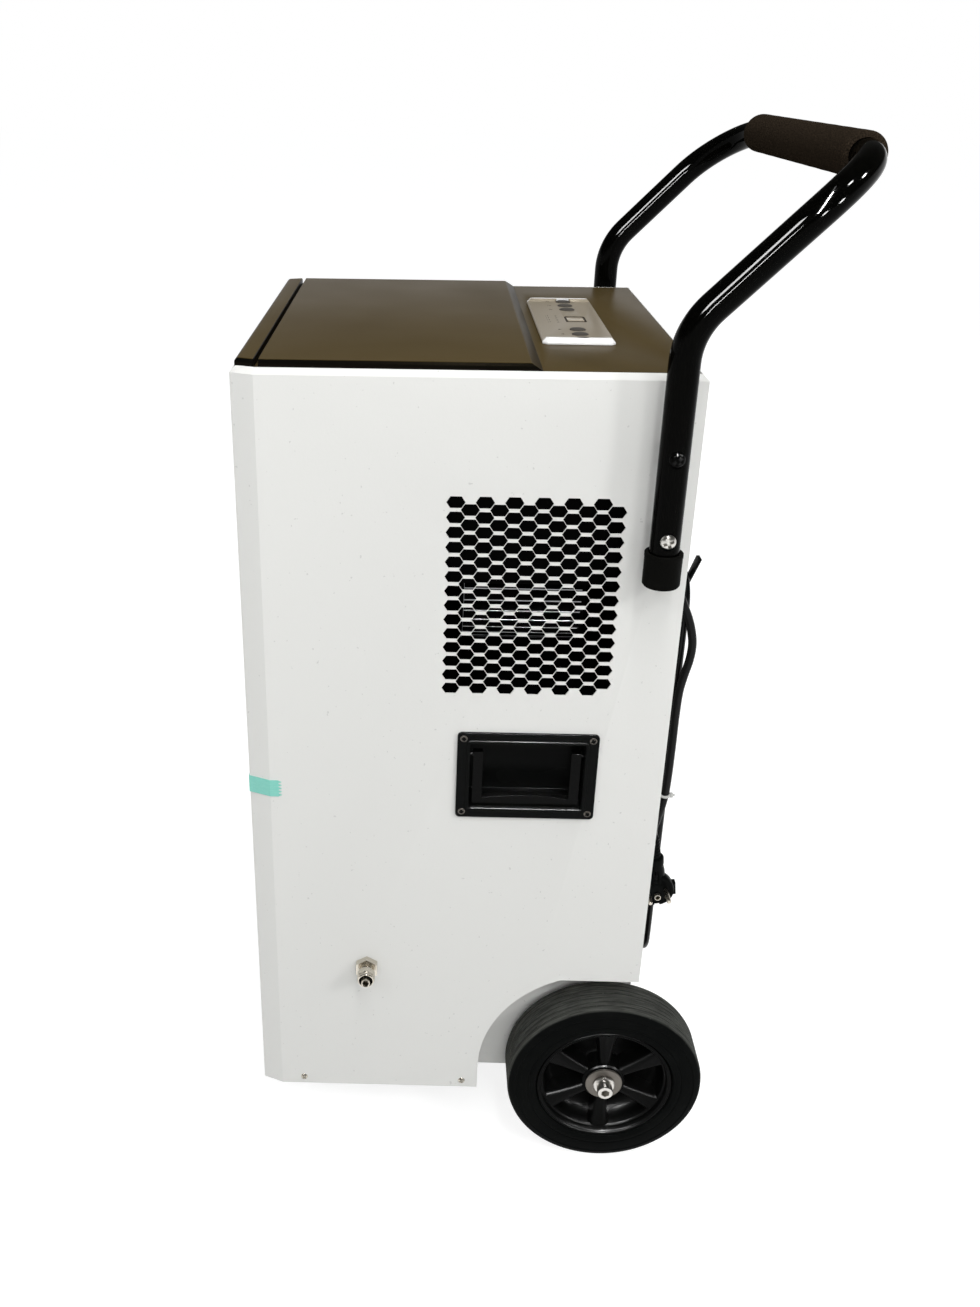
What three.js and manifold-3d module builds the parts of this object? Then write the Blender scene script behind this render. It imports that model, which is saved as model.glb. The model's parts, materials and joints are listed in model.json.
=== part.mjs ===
// A wheeled commercial dehumidifier: a sheet-steel cabinet on two big rubber wheels, with a push
// handle, folding carry handles, a button panel, a side air outlet and its refrigeration works.
// Millimetres, +Z up, +Y to the rear, +X to the side with the air outlet.
import * as THREE from 'three';
import { mergeVertices, mergeGeometries } from 'three/addons/utils/BufferGeometryUtils.js';
import Module from 'manifold-3d';

const wasm = await Module();
wasm.setup();

// ---------------------------------------------------------------- driving dimensions
const gap = 0.3; // clearance between pieces that touch

// cabinet
const bodyWidth = 418; // across the two flat sides
const sideLength = 364; // front to rear along one flat side
const chamferLength = 20; // front corner chamfer, measured along the side
const chamferDepth = 8; // and across the front
const bodyBottom = 75; // underside of the cabinet above the floor
const bodyTop = 837;
const topBevel = 5; // 45 degree bevel along the top edge of the steel
const sheet = 1.5; // steel sheet
const rimWidth = 20; // inward ledge that carries the top cover, and the rear return flange

// wheels and their arches
const wheelRadius = 100;
const wheelWidth = 50;
const wheelStandOff = 20; // outer tyre face beyond the cabinet side
const axleSetBack = 154.5; // axle behind the middle of the flat side
const wellDepth = 34.5; // inner wheel-well wall behind the cabinet side
const archRadius = 122;
const archCentreHeight = 108;
const archLead = 8.5; // arch centre in front of the axle
const archTop = 222;
const rimRadius = 70;
const hubRadius = 22;
const axleRadius = 10;

// top cover and control panel
const plateauHeight = 6; // front part of the cover above the steel edge
const coverThickness = 3;
const trimRear = -182; // rear edge of the black strip across the front of the top
const lidFront = -178.4; // front edge of the raised part, behind a groove
const frontLip = 2; // how far the strip leans over the front bevel
const plateauEnd = 41; // rear end of the raised part
const plateauSlope = 9.5; // length of the step down behind it
const panelLength = 206; // control panel, side to side
const panelDepth = 64; // control panel, front to rear
const panelMiddle = 90; // its middle behind the middle of the side
const panelHeight = 5.5;
const keypadHeight = 3;
const buttonRadius = 7.5;
const buttonPitch = 21;
const buttonGroupOffset = 70; // middle button of each group of three
const buttonRow = 94;
const buttonTravel = 1;
const displayLength = 25;
const displayDepth = 19;

// push handle
const tubeRadius = 12.5;
const tubeWall = 2;
const tubeOffset = 24.2; // tube axis beyond the cabinet side
const legSetBack = 155.3; // vertical legs behind the middle of the side
const legBottom = 670;
const legBendRadius = 60;
const legTilt = 45; // slope of the upper legs in degrees
const crossbarSetBack = 291;
const crossbarHeight = 998;
const cornerRadius = 70; // corner between a leg and the crossbar, seen from the rear
const cornerRun = 60.5; // that corner, front to rear
const cornerRise = 46; // and in height
const gripLength = 326;
const gripRadius = 18;
const handleScrewHeights = { lower: 709, upper: 778 };

// air outlet: a staggered field of six-sided holes
const holeColumns = 12;
const holesInColumn = 14;
const holeLength = 16.2; // along the side, corner to corner
const holeHeight = 10.6;
const holeFlat = 9.4; // length of the level top edge of a hole
const holeColumnPitch = 12.26;
const holeRowPitch = 13.45;
const outletMiddle = 51;
const outletHeight = 640;

// folding carry handles
const pullMiddle = 56;
const pullHeight = 463;
const pullLength = 129;
const pullRise = 90.5;
const pullFlange = 2.5;
const pocketLength = 105;
const pocketRise = 68.5;
const pocketDepth = 34;
const pocketWall = 2;
const bailLength = 99;
const bailBar = 9; // width of the two legs
const bailLip = 7.5; // height of the bottom bar at its ends
const bailThickness = 7;
const bailDrop = 52.8; // hinge axis to the bottom of the bail
const hingeBelowLip = 14.75; // hinge axis below the upper edge of the pocket
const pinRadius = 2.5;

// drain
const drainMiddle = -92;
const drainHeight = 235;

// front
const intakeWidth = 300;
const intakeBottom = 300;
const intakeTop = 700;
const louvreCount = 16;

// works inside
const coilWidth = 330;
const coilTop = 700;
const trayBottom = 262;
const trayHeight = 33;
const fanMiddle = 70; // fan axis towards the outlet side
const fanHeight = 632;
const fanRadius = 86;
const fanDepth = 113;
const lipClearance = 5; // fan to the housing's lip
const lipRise = 3; // lower edge of that lip above the fan's middle
const bladeCount = 18;
const ductHeight = 196;
const ductFront = -26;
const ductRear = 129;
const compressorRadius = 59;
const compressorTop = 300;

// cord on its two rear hooks
const cordRadius = 4.1;
const hookHeights = { lower: 197, upper: 590 };
const hookSide = 80; // hooks beside the middle of the rear face
const hankRadius = 26; // middle of a turn round a hook
const hankLayers = 2; // turns lying one behind the other
const hankSetBack = 17.3; // rear face to the middle of the first layer
const hankPitch = 8.7;
const hankSkin = 4.3; // half the thickness of one layer
const saddleReach = 22.7; // rear face to the end of a hook's saddle
const hookTongues = {
  upper: { reach: 32, lean: 9, length: 20 },
  lower: { reach: 33.3, lean: 0, length: 3.3 },
};
const tailClearance = 1; // free end to the turns that it runs over
const cordExit = { x: -10, z: 180 };
const plugNeck = 64; // middle of the plug's round body to the end of its strain relief
const plugLean = 7; // degrees that the plug leans away from the cabinet

// ---------------------------------------------------------------- values worked out from them
const halfBody = bodyWidth / 2;
const halfSide = sideLength / 2;
const bodyFront = -halfSide - chamferLength;
const innerSide = halfBody - sheet - gap; // what stands against the inside of a side panel
const innerRear = halfSide - sheet - gap;
const wheelOuter = halfBody + wheelStandOff;
const wheelInner = wheelOuter - wheelWidth;
const wellWall = halfBody - wellDepth;
const tubeSide = halfBody + tubeOffset;
const capRadius = tubeRadius + 3.5;
const coverTop = bodyTop + plateauHeight;
const coverSeat = bodyTop - coverThickness;
const hankMiddle = halfSide + hankSetBack; // middle of the layer nearest the cabinet
const frontReach = bodyFront - 2.5; // the intake grille stands this far forward
const rearReach = crossbarSetBack + gripRadius;
const originSetBack = (frontReach + rearReach) / 2; // origin: middle of the whole object

// ---------------------------------------------------------------- materials
const finish = (color, roughness, metalness) =>
  new THREE.MeshStandardMaterial({ color, roughness, metalness });
const whitePaint = finish(0xe9ebeb, 0.45, 0.1);
const blackPaint = finish(0x111112, 0.12, 0.3);
const coverBlack = finish(0x2c2924, 0.4, 0.2);
const blackPlastic = finish(0x1b1c1d, 0.5, 0);
const greyPlastic = finish(0x3a3b3d, 0.5, 0);
const silver = finish(0xb9b6b2, 0.35, 0.8);
const steel = finish(0xb8b8b4, 0.3, 1);
const nickel = finish(0xc9c2b2, 0.25, 1);
const copper = finish(0xb5673c, 0.3, 1);
const aluminium = finish(0xb5b8ba, 0.4, 0.9);
const galvanised = finish(0xa4a8aa, 0.5, 0.8);
const rubber = finish(0x1f2021, 0.85, 0);
const foam = finish(0x3b3734, 0.95, 0);
const tapeGreen = finish(0x6fd3bd, 0.6, 0);
const glass = finish(0x8f8b80, 0.15, 0);

// ---------------------------------------------------------------- shape helpers
const machine = new THREE.Group();
machine.position.y = -originSetBack;

/** One closed skin: shared corners merged, slivers dropped, faces pointing out. */
function closedSkin(source) {
  const bare = source.index ? source.toNonIndexed() : source.clone();
  bare.deleteAttribute('normal');
  bare.deleteAttribute('uv');
  const merged = mergeVertices(bare, 1e-4);
  const position = merged.getAttribute('position');
  const corners = [new THREE.Vector3(), new THREE.Vector3(), new THREE.Vector3()];
  const kept = [];
  let volume = 0;
  for (let i = 0; i < merged.index.count; i += 3) {
    const face = [0, 1, 2].map((k) => merged.index.getX(i + k));
    if (face[0] === face[1] || face[1] === face[2] || face[2] === face[0]) continue;
    kept.push(...face);
    face.forEach((vertex, k) => corners[k].fromBufferAttribute(position, vertex));
    volume += corners[0].dot(corners[1].clone().cross(corners[2]));
  }
  if (volume < 0) kept.reverse();
  merged.setIndex(kept);
  return merged;
}

function toSolid(geometry) {
  const skin = closedSkin(geometry);
  return new wasm.Manifold(new wasm.Mesh({
    numProp: 3,
    vertProperties: new Float32Array(skin.getAttribute('position').array),
    triVerts: new Uint32Array(skin.index.array),
  }));
}

function fromSolid(solid) {
  const mesh = solid.getMesh();
  const geometry = new THREE.BufferGeometry();
  geometry.setAttribute('position', new THREE.BufferAttribute(mesh.vertProperties, 3));
  geometry.setIndex(new THREE.BufferAttribute(mesh.triVerts, 1));
  return geometry;
}

const join = (...geometries) =>
  fromSolid(geometries.map(toSolid).reduce((whole, piece) => whole.add(piece)));
const cut = (body, ...tools) =>
  fromSolid(tools.map(toSolid).reduce((whole, tool) => whole.subtract(tool), toSolid(body)));
const common = (first, ...others) =>
  fromSolid(others.map(toSolid).reduce((whole, other) => whole.intersect(other), toSolid(first)));

/** A box from its lowest to its highest corner. */
function block(x0, x1, y0, y1, z0, z1) {
  return new THREE.BoxGeometry(x1 - x0, y1 - y0, z1 - z0)
    .translate((x0 + x1) / 2, (y0 + y1) / 2, (z0 + z1) / 2);
}

const turnTo = {
  // columns say where the first, second and third axis of a drawing go
  x: new THREE.Matrix4().makeBasis(
    new THREE.Vector3(0, 1, 0), new THREE.Vector3(0, 0, 1), new THREE.Vector3(1, 0, 0)),
  y: new THREE.Matrix4().makeBasis(
    new THREE.Vector3(0, 0, 1), new THREE.Vector3(1, 0, 0), new THREE.Vector3(0, 1, 0)),
  z: new THREE.Matrix4(),
};

/** A flat outline pulled along an axis: (y, z) along x, (z, x) along y, (x, y) along z. */
function prism(axis, shape, from, to) {
  const drawn = Array.isArray(shape)
    ? new THREE.Shape(shape.map(([u, v]) => new THREE.Vector2(u, v))) : shape;
  return new THREE.ExtrudeGeometry(drawn, { depth: to - from, bevelEnabled: false, curveSegments: 6 })
    .translate(0, 0, from).applyMatrix4(turnTo[axis]);
}

/** A round piece turned about an axis from [radius, place along the axis] points. */
function turned(axis, profile, segments = 24) {
  const points = profile.map(([radius, along]) => new THREE.Vector2(radius, along));
  return new THREE.LatheGeometry(points, segments).rotateX(Math.PI / 2).applyMatrix4(turnTo[axis]);
}

const rod = (axis, radius, from, to, segments = 16) =>
  turned(axis, [[0, from], [radius, from], [radius, to], [0, to]], segments);
const ring = (axis, inner, outer, from, to, segments = 24) =>
  turned(axis, [[inner, from], [outer, from], [outer, to], [inner, to], [inner, from]], segments);

/** Regular polygon outline with the given corner radius. */
function polygon(sides, radius, phase = 0) {
  return Array.from({ length: sides }, (_, i) => {
    const angle = phase + (i / sides) * 2 * Math.PI;
    return [radius * Math.cos(angle), radius * Math.sin(angle)];
  });
}

/** Rectangle with round corners, as a shape centred on (u, v). */
function roundedRectangle(width, height, radius, u = 0, v = 0) {
  const shape = new THREE.Shape();
  const w = width / 2 - radius;
  const h = height / 2 - radius;
  shape.absarc(u + w, v + h, radius, 0, Math.PI / 2);
  shape.absarc(u - w, v + h, radius, Math.PI / 2, Math.PI);
  shape.absarc(u - w, v - h, radius, Math.PI, 1.5 * Math.PI);
  shape.absarc(u + w, v - h, radius, 1.5 * Math.PI, 2 * Math.PI);
  return shape;
}

/** A round bar or hose along a curve. */
function bar(curve, radius, sides, steps, bore = 0) {
  const section = new THREE.Shape(polygon(sides, radius).map(([u, v]) => new THREE.Vector2(u, v)));
  if (bore > 0) {
    section.holes.push(new THREE.Path(polygon(sides, bore).map(([u, v]) => new THREE.Vector2(u, v))));
  }
  return new THREE.ExtrudeGeometry(section, { steps, extrudePath: curve });
}

/** A convex outline moved inwards by a distance. */
function inset(outline, distance) {
  return outline.map((corner, i) => {
    const before = outline[(i + outline.length - 1) % outline.length];
    const after = outline[(i + 1) % outline.length];
    const a = new THREE.Vector2(corner[0] - before[0], corner[1] - before[1]).normalize();
    const b = new THREE.Vector2(after[0] - corner[0], after[1] - corner[1]).normalize();
    const share = distance / (1 + a.dot(b));
    return [corner[0] - (a.y + b.y) * share, corner[1] + (a.x + b.x) * share];
  });
}

/** A solid through level outlines that have the same number of corners: [height, outline]. */
function loft(levels) {
  const count = levels[0][1].length;
  const positions = [];
  const faces = [];
  levels.forEach(([height, outline]) => outline.forEach(([x, y]) => positions.push(x, y, height)));
  for (let level = 0; level < levels.length - 1; level += 1) {
    for (let i = 0; i < count; i += 1) {
      const a = level * count + i;
      const b = level * count + ((i + 1) % count);
      faces.push(a, b, b + count, a, b + count, a + count);
    }
  }
  const lid = (levels.length - 1) * count;
  for (let i = 1; i < count - 1; i += 1) {
    faces.push(0, i + 1, i, lid, lid + i, lid + i + 1);
  }
  const geometry = new THREE.BufferGeometry();
  geometry.setAttribute('position', new THREE.Float32BufferAttribute(positions, 3));
  geometry.setIndex(faces);
  return geometry;
}

function add(name, geometry, material, parent = machine) {
  const skin = closedSkin(geometry);
  skin.computeVertexNormals();
  const mesh = new THREE.Mesh(skin, material);
  mesh.name = name;
  parent.add(mesh);
  return mesh;
}

const sides = [{ name: 'right', sign: 1 }, { name: 'left', sign: -1 }];

/** Builds a piece for the right side; the left one is the same piece reflected. */
function onSide(sign, geometry) {
  return sign > 0 ? geometry : geometry.clone().scale(-1, 1, 1);
}

// ---------------------------------------------------------------- cabinet
const bodyOutline = [
  [-halfBody + chamferDepth, bodyFront],
  [halfBody - chamferDepth, bodyFront],
  [halfBody, -halfSide],
  [halfBody, halfSide],
  [-halfBody, halfSide],
  [-halfBody, -halfSide],
];

const coverInset = topBevel + 0.4 + gap;
const coverFootprint = bodyOutline.map(([x, y]) => [x, y < -halfSide - 1 ? y - frontLip : y]);

/** Wheel arch outline seen from the side, grown outwards by a margin, as [y, z] points. */
function archOutline(margin, bottom, rear) {
  const radius = archRadius + margin;
  const centre = axleSetBack - archLead;
  const top = archTop + margin;
  const lastAngle = Math.asin((top - archCentreHeight) / radius);
  const steps = 10;
  const points = [[centre - radius, bottom]];
  for (let i = 0; i <= steps; i += 1) {
    const angle = (i / steps) * lastAngle;
    points.push([centre - radius * Math.cos(angle), archCentreHeight + radius * Math.sin(angle)]);
  }
  points.push([rear, top], [rear, bottom]);
  return points.reverse();
}

const wheelSpace = prism('x', archOutline(0, bodyBottom - 10, halfSide + 10), wellWall, halfBody + 10);
const wheelSpaces = sides.map(({ sign }) => onSide(sign, wheelSpace));

/** The whole folded skin, before it is divided into panels. */
function cabinetSkin() {
  const outside = loft([
    [bodyBottom, bodyOutline],
    [bodyTop - topBevel, bodyOutline],
    [bodyTop, inset(bodyOutline, topBevel)],
  ]);
  const room = loft([
    [bodyBottom - 1, inset(bodyOutline, sheet)],
    [bodyTop - topBevel, inset(bodyOutline, sheet)],
  ]);
  const mouth = loft([
    [bodyTop - topBevel - 1, inset(bodyOutline, rimWidth)],
    [bodyTop + 1, inset(bodyOutline, rimWidth)],
  ]);
  const coverPocket = loft([
    [coverSeat - gap, inset(coverFootprint, coverInset - gap)],
    [bodyTop + 1, inset(coverFootprint, coverInset - gap)],
  ]);
  return cut(outside, room, mouth, coverPocket, ...wheelSpaces);
}

const skin = cabinetSkin();
const seam = halfBody - rimWidth; // where the side sheet ends on the rear face
const farOut = bodyWidth;
const sideRegion = join(
  block(seam, farOut, -halfSide + 30, farOut, 0, bodyTop + 10),
  block(halfBody - chamferDepth + gap / 2, farOut, -farOut, -halfSide + 31, 0, bodyTop + 10));
const rearRegion = block(-seam + gap, seam - gap, 0, farOut, 0, bodyTop + 10);
const frontEdge = halfBody - chamferDepth - gap / 2;
const frontRegion = block(-frontEdge, frontEdge, -farOut, -halfSide + 30 - gap, 0, bodyTop + 10);

/** One prism per outlet hole. */
function outletHoles() {
  const holes = [];
  const tip = holeLength / 2;
  const flat = holeFlat / 2;
  const rise = holeHeight / 2;
  for (let column = 0; column < holeColumns; column += 1) {
    const short = column % 2;
    const count = holesInColumn - short;
    const y = outletMiddle + (column - (holeColumns - 1) / 2) * holeColumnPitch;
    for (let row = 0; row < count; row += 1) {
      const z = outletHeight + (row - (count - 1) / 2) * holeRowPitch;
      holes.push(prism('x', [
        [y - tip, z], [y - flat, z - rise], [y + flat, z - rise],
        [y + tip, z], [y + flat, z + rise], [y - flat, z + rise],
      ], halfBody - 10, halfBody + 10));
    }
  }
  return mergeGeometries(holes);
}

const boltHole = (y, z, radius) =>
  rod('x', radius, halfBody - 10, halfBody + 10, 12).translate(0, y, z);

function sidePanel({ name, sign }) {
  const openings = [
    block(halfBody - 10, halfBody + 10,
      pullMiddle - pocketLength / 2 - pocketWall - gap, pullMiddle + pocketLength / 2 + pocketWall + gap,
      pullHeight - pocketRise / 2 - pocketWall - gap, pullHeight + pocketRise / 2 + pocketWall + gap),
    ...Object.values(handleScrewHeights).map((z) => boltHole(legSetBack, z, 3 + gap)),
  ];
  if (sign > 0) {
    openings.push(outletHoles());
    openings.push(boltHole(drainMiddle, drainHeight, 6.25 + gap));
  }
  const panel = common(onSide(sign, skin), sideRegion);
  add(`side_panel_${name}`, onSide(sign, cut(panel, ...openings)), whitePaint);
}
sides.forEach(sidePanel);

/** Rear sheet with its cooling slots and the hole for the cord. */
function rearPanel() {
  const slots = [];
  for (let row = 0; row < 9; row += 1) {
    for (const x of [-95, -20]) {
      slots.push(block(x - 30, x + 30, halfSide - 10, halfSide + 10, 470 + row * 12, 474 + row * 12));
    }
  }
  const cordHole = rod('y', 7, halfSide - 10, halfSide + 10, 16).translate(cordExit.x, 0, cordExit.z);
  add('rear_panel', cut(common(skin, rearRegion), ...slots, cordHole), whitePaint);
}
rearPanel();

function frontPanel() {
  const opening = block(-intakeWidth / 2, intakeWidth / 2, bodyFront - 5, bodyFront + 5,
    intakeBottom, intakeTop);
  add('front_panel', cut(common(skin, frontRegion), opening), whitePaint);
}
frontPanel();

/** Moulded louvre panel in the front opening. */
function intakeGrille() {
  const flange = 6;
  const frameFront = bodyFront - 2.5;
  const frameBack = bodyFront + 6;
  const half = intakeWidth / 2;
  const wall = 4;
  const frame = cut(
    join(
      block(-half - flange, half + flange, frameFront, bodyFront - gap,
        intakeBottom - flange, intakeTop + flange),
      block(-half + gap, half - gap, bodyFront - 1, frameBack, intakeBottom + gap, intakeTop - gap)),
    block(-half + wall, half - wall, frameFront - 1, frameBack + 1,
      intakeBottom + wall, intakeTop - wall));
  const pitch = (intakeTop - intakeBottom) / louvreCount;
  const slats = Array.from({ length: louvreCount - 1 }, (_, i) => {
    const z = intakeBottom + (i + 1) * pitch;
    return prism('x', [
      [frameFront, z - 3], [frameBack, z + 3], [frameBack, z + 5.5], [frameFront, z - 0.5],
    ], -half + wall - 0.5, half - wall + 0.5);
  });
  const rib = block(-1.5, 1.5, frameFront + 1, frameBack, intakeBottom + wall - 0.5, intakeTop - wall + 0.5);
  add('intake_grille', join(frame, ...slats, rib), blackPlastic);

  const filterBack = frameBack + gap + 5;
  const filterFrame = cut(
    block(-half + 2, half - 2, frameBack + gap, filterBack, intakeBottom + 2, intakeTop - 2),
    ...[-1, 1].map((side) => block(
      side * half / 2 - half / 2 + 8, side * half / 2 + half / 2 - 8, frameBack + 2, filterBack + 1,
      intakeBottom + 10, intakeTop - 10)));
  add('air_filter', filterFrame, greyPlastic);
}
intakeGrille();

/** Base pan: floor, upstand, the two wheel wells and the axle bosses. */
function basePan() {
  const margin = sheet + gap;
  const upstand = 30;
  const tray = cut(
    loft([
      [bodyBottom, inset(bodyOutline, margin)],
      [bodyBottom + upstand, inset(bodyOutline, margin)],
    ]),
    loft([
      [bodyBottom + sheet, inset(bodyOutline, margin + sheet)],
      [bodyBottom + upstand + 1, inset(bodyOutline, margin + sheet)],
    ]));
  const wellOuter = prism('x', archOutline(sheet, bodyBottom, innerRear), wellWall - sheet, innerSide);
  const boss = rod('x', axleRadius + 6, wellWall - 30, wellWall - 0.5).translate(0, axleSetBack, wheelRadius);
  const bore = rod('x', axleRadius + gap, -halfBody, halfBody).translate(0, axleSetBack, wheelRadius);
  const additions = sides.flatMap(({ sign }) => [onSide(sign, wellOuter), onSide(sign, boss)]);
  const wells = sides.map(({ sign }) => onSide(sign, prism(
    'x', archOutline(0, bodyBottom - 10, halfSide + 10), wellWall, halfBody + 10)));
  add('base_pan', cut(join(tray, ...additions), ...wells, bore), whitePaint);
}
basePan();

// ---------------------------------------------------------------- top
/** The black top: a raised front part that steps down to the control panel. */
function topCover() {
  const roundOff = 2.5;
  const outline = inset(coverFootprint, coverInset);
  const whole = loft([
    [coverSeat, outline],
    [coverTop - roundOff, outline],
    [coverTop, inset(outline, roundOff)],
  ]);
  const rear = halfSide - coverInset;
  const beyond = rear + 20;
  const lidProfile = [
    [trimRear + gap, coverSeat - 1], [beyond, coverSeat - 1], [beyond, bodyTop],
    [plateauEnd + plateauSlope, bodyTop], [plateauEnd, coverTop], [plateauEnd, coverTop + 1],
    [lidFront, coverTop + 1], [lidFront, bodyTop], [trimRear + gap, bodyTop],
  ];
  const hollowProfile = [
    [lidFront + 3, coverSeat - 1], [beyond, coverSeat - 1], [beyond, coverSeat],
    [plateauEnd + plateauSlope - 1, coverSeat], [plateauEnd - 2, coverTop - coverThickness],
    [lidFront + 3, coverTop - coverThickness],
  ];
  const inner = halfBody - rimWidth - 3;
  const panelHole = block(
    -panelLength / 2 + 12, panelLength / 2 - 12,
    panelMiddle - panelDepth / 2 + 10, panelMiddle + panelDepth / 2 - 10, coverSeat - 1, bodyTop + 1);
  add('top_cover', cut(
    common(whole, prism('x', lidProfile, -halfBody, halfBody)),
    common(prism('x', hollowProfile, -inner, inner), block(-inner, inner, -halfBody, rear - 18, 0, coverTop)),
    panelHole), coverBlack);
  add('front_trim', common(whole, block(-halfBody, halfBody, -halfBody, trimRear, 0, coverTop + 1)), coverBlack);
}
topCover();

const panelBase = bodyTop + gap;
const keypadTop = bodyTop + keypadHeight;
const buttonPlaces = [-1, 1].flatMap((group) =>
  [-1, 0, 1].map((step) => group * buttonGroupOffset + step * buttonPitch));

function controlPanel() {
  const half = panelLength / 2;
  const front = panelMiddle - panelDepth / 2;
  const rear = panelMiddle + panelDepth / 2;
  const cornerCut = 4;
  const outline = [
    [-half + cornerCut, front], [half - cornerCut, front], [half, front + cornerCut],
    [half, rear - cornerCut], [half - cornerCut, rear], [-half + cornerCut, rear],
    [-half, rear - cornerCut], [-half, front + cornerCut],
  ];
  const slope = 3.5;
  const body = loft([
    [panelBase, outline],
    [panelBase + 1.5, outline],
    [bodyTop + panelHeight, inset(outline, slope)],
  ]);
  // the keypad lies below the two raised ends
  const ridge = 4;
  const dip = panelHeight - keypadHeight;
  const bottom = half - slope - ridge - dip;
  const keypad = prism('y', [
    [keypadTop, -bottom], [keypadTop, bottom], [keypadTop + dip + 1, bottom + dip + 1],
    [keypadTop + dip + 1, -bottom - dip - 1],
  ], front - 1, rear + 1);
  const holes = buttonPlaces.map((x) =>
    rod('z', buttonRadius + gap, bodyTop, keypadTop + 5, 18).translate(x, buttonRow, 0));
  const window = block(
    -displayLength / 2 - gap, displayLength / 2 + gap,
    buttonRow + 3 - displayDepth / 2 - gap, buttonRow + 3 + displayDepth / 2 + gap,
    keypadTop - 1.5, keypadTop + 5);
  add('control_panel', cut(body, keypad, ...holes, window), silver);
  add('display_window', block(
    -displayLength / 2, displayLength / 2, buttonRow + 3 - displayDepth / 2,
    buttonRow + 3 + displayDepth / 2, keypadTop - 1.5 + gap, keypadTop), glass);
  buttonPlaces.forEach((x, i) => {
    const under = panelBase + gap + buttonTravel;
    const button = turned('z', [
      [0, under], [buttonRadius, under], [buttonRadius, keypadTop + 0.5],
      [buttonRadius * 0.75, keypadTop + 1.1], [0, keypadTop + 1.3],
    ], 18);
    add(`button_${i + 1}`, button, greyPlastic).position.set(x, buttonRow, 0);
  });
  add('control_box', block(-98, 98, panelMiddle - 29, panelMiddle + 29, coverSeat - 46, coverSeat - gap),
    blackPlastic);
}
controlPanel();

// ---------------------------------------------------------------- push handle
/** Middle line of the bent tube from the foot of the right leg to the foot of the left one. */
function handlePath() {
  const tilt = THREE.MathUtils.degToRad(legTilt);
  const tangent = legBendRadius * Math.tan(tilt / 2);
  const along = new THREE.Vector3(0, Math.sin(tilt), Math.cos(tilt));
  const crossbar = new THREE.Vector3(tubeSide - cornerRadius, crossbarSetBack, crossbarHeight);
  const cornerStart = new THREE.Vector3(
    tubeSide, crossbarSetBack - cornerRun, crossbarHeight - cornerRise);
  const elbowHeight = cornerStart.z - (cornerStart.y - legSetBack) / Math.tan(tilt);
  const elbow = new THREE.Vector3(tubeSide, legSetBack, elbowHeight);
  const legTop = new THREE.Vector3(tubeSide, legSetBack, elbowHeight - tangent);
  const slopeStart = elbow.clone().addScaledVector(along, tangent);
  const bezier = 0.5523;
  const bend = legBendRadius * (4 / 3) * Math.tan(tilt / 4);
  const halfPath = [
    new THREE.LineCurve3(new THREE.Vector3(tubeSide, legSetBack, legBottom), legTop),
    new THREE.CubicBezierCurve3(
      legTop, legTop.clone().add(new THREE.Vector3(0, 0, bend)),
      slopeStart.clone().addScaledVector(along, -bend), slopeStart),
    new THREE.LineCurve3(slopeStart, cornerStart),
    new THREE.CubicBezierCurve3(
      cornerStart, cornerStart.clone().addScaledVector(along, cornerRadius * bezier),
      crossbar.clone().add(new THREE.Vector3(cornerRadius * bezier, 0, 0)), crossbar),
  ];
  const points = [];
  const counts = [1, 5, 1, 7];
  halfPath.forEach((piece, i) => {
    for (let k = 0; k < counts[i]; k += 1) points.push(piece.getPoint(k / counts[i]));
  });
  points.push(crossbar);
  const mirrored = points.map((p) => new THREE.Vector3(-p.x, p.y, p.z)).reverse();
  return [...points, ...mirrored];
}

/** A tube swept through listed points, its section square to the path at each. */
function sweptTube(points, radius, bore, sides) {
  const rings = points.map((point, i) => {
    const ahead = points[Math.min(i + 1, points.length - 1)];
    const behind = points[Math.max(i - 1, 0)];
    const out = ahead.clone().sub(point).normalize();
    const back = point.clone().sub(behind).normalize();
    const direction = i === 0 ? out : i === points.length - 1 ? back : out.add(back).normalize();
    return { point, direction };
  });
  const up = new THREE.Vector3(1, 0, 0);
  let side = up.clone();
  const positions = [];
  const faces = [];
  const layers = [radius, bore];
  rings.forEach(({ point, direction }) => {
    side = side.addScaledVector(direction, -side.dot(direction)).normalize();
    const other = direction.clone().cross(side);
    layers.forEach((r) => polygon(sides, r).forEach(([u, v]) => {
      positions.push(
        point.x + side.x * u + other.x * v,
        point.y + side.y * u + other.y * v,
        point.z + side.z * u + other.z * v);
    }));
  });
  const stride = 2 * sides;
  const quad = (a, b, c, d) => faces.push(a, b, c, a, c, d);
  for (let i = 0; i < rings.length - 1; i += 1) {
    for (let k = 0; k < sides; k += 1) {
      const next = (k + 1) % sides;
      const here = i * stride;
      const there = here + stride;
      quad(here + k, here + next, there + next, there + k);
      quad(here + sides + next, here + sides + k, there + sides + k, there + sides + next);
    }
  }
  const last = (rings.length - 1) * stride;
  for (let k = 0; k < sides; k += 1) {
    const next = (k + 1) % sides;
    quad(next, k, sides + k, sides + next);
    quad(last + k, last + next, last + sides + next, last + sides + k);
  }
  const geometry = new THREE.BufferGeometry();
  geometry.setAttribute('position', new THREE.Float32BufferAttribute(positions, 3));
  geometry.setIndex(faces);
  return geometry;
}

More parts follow.
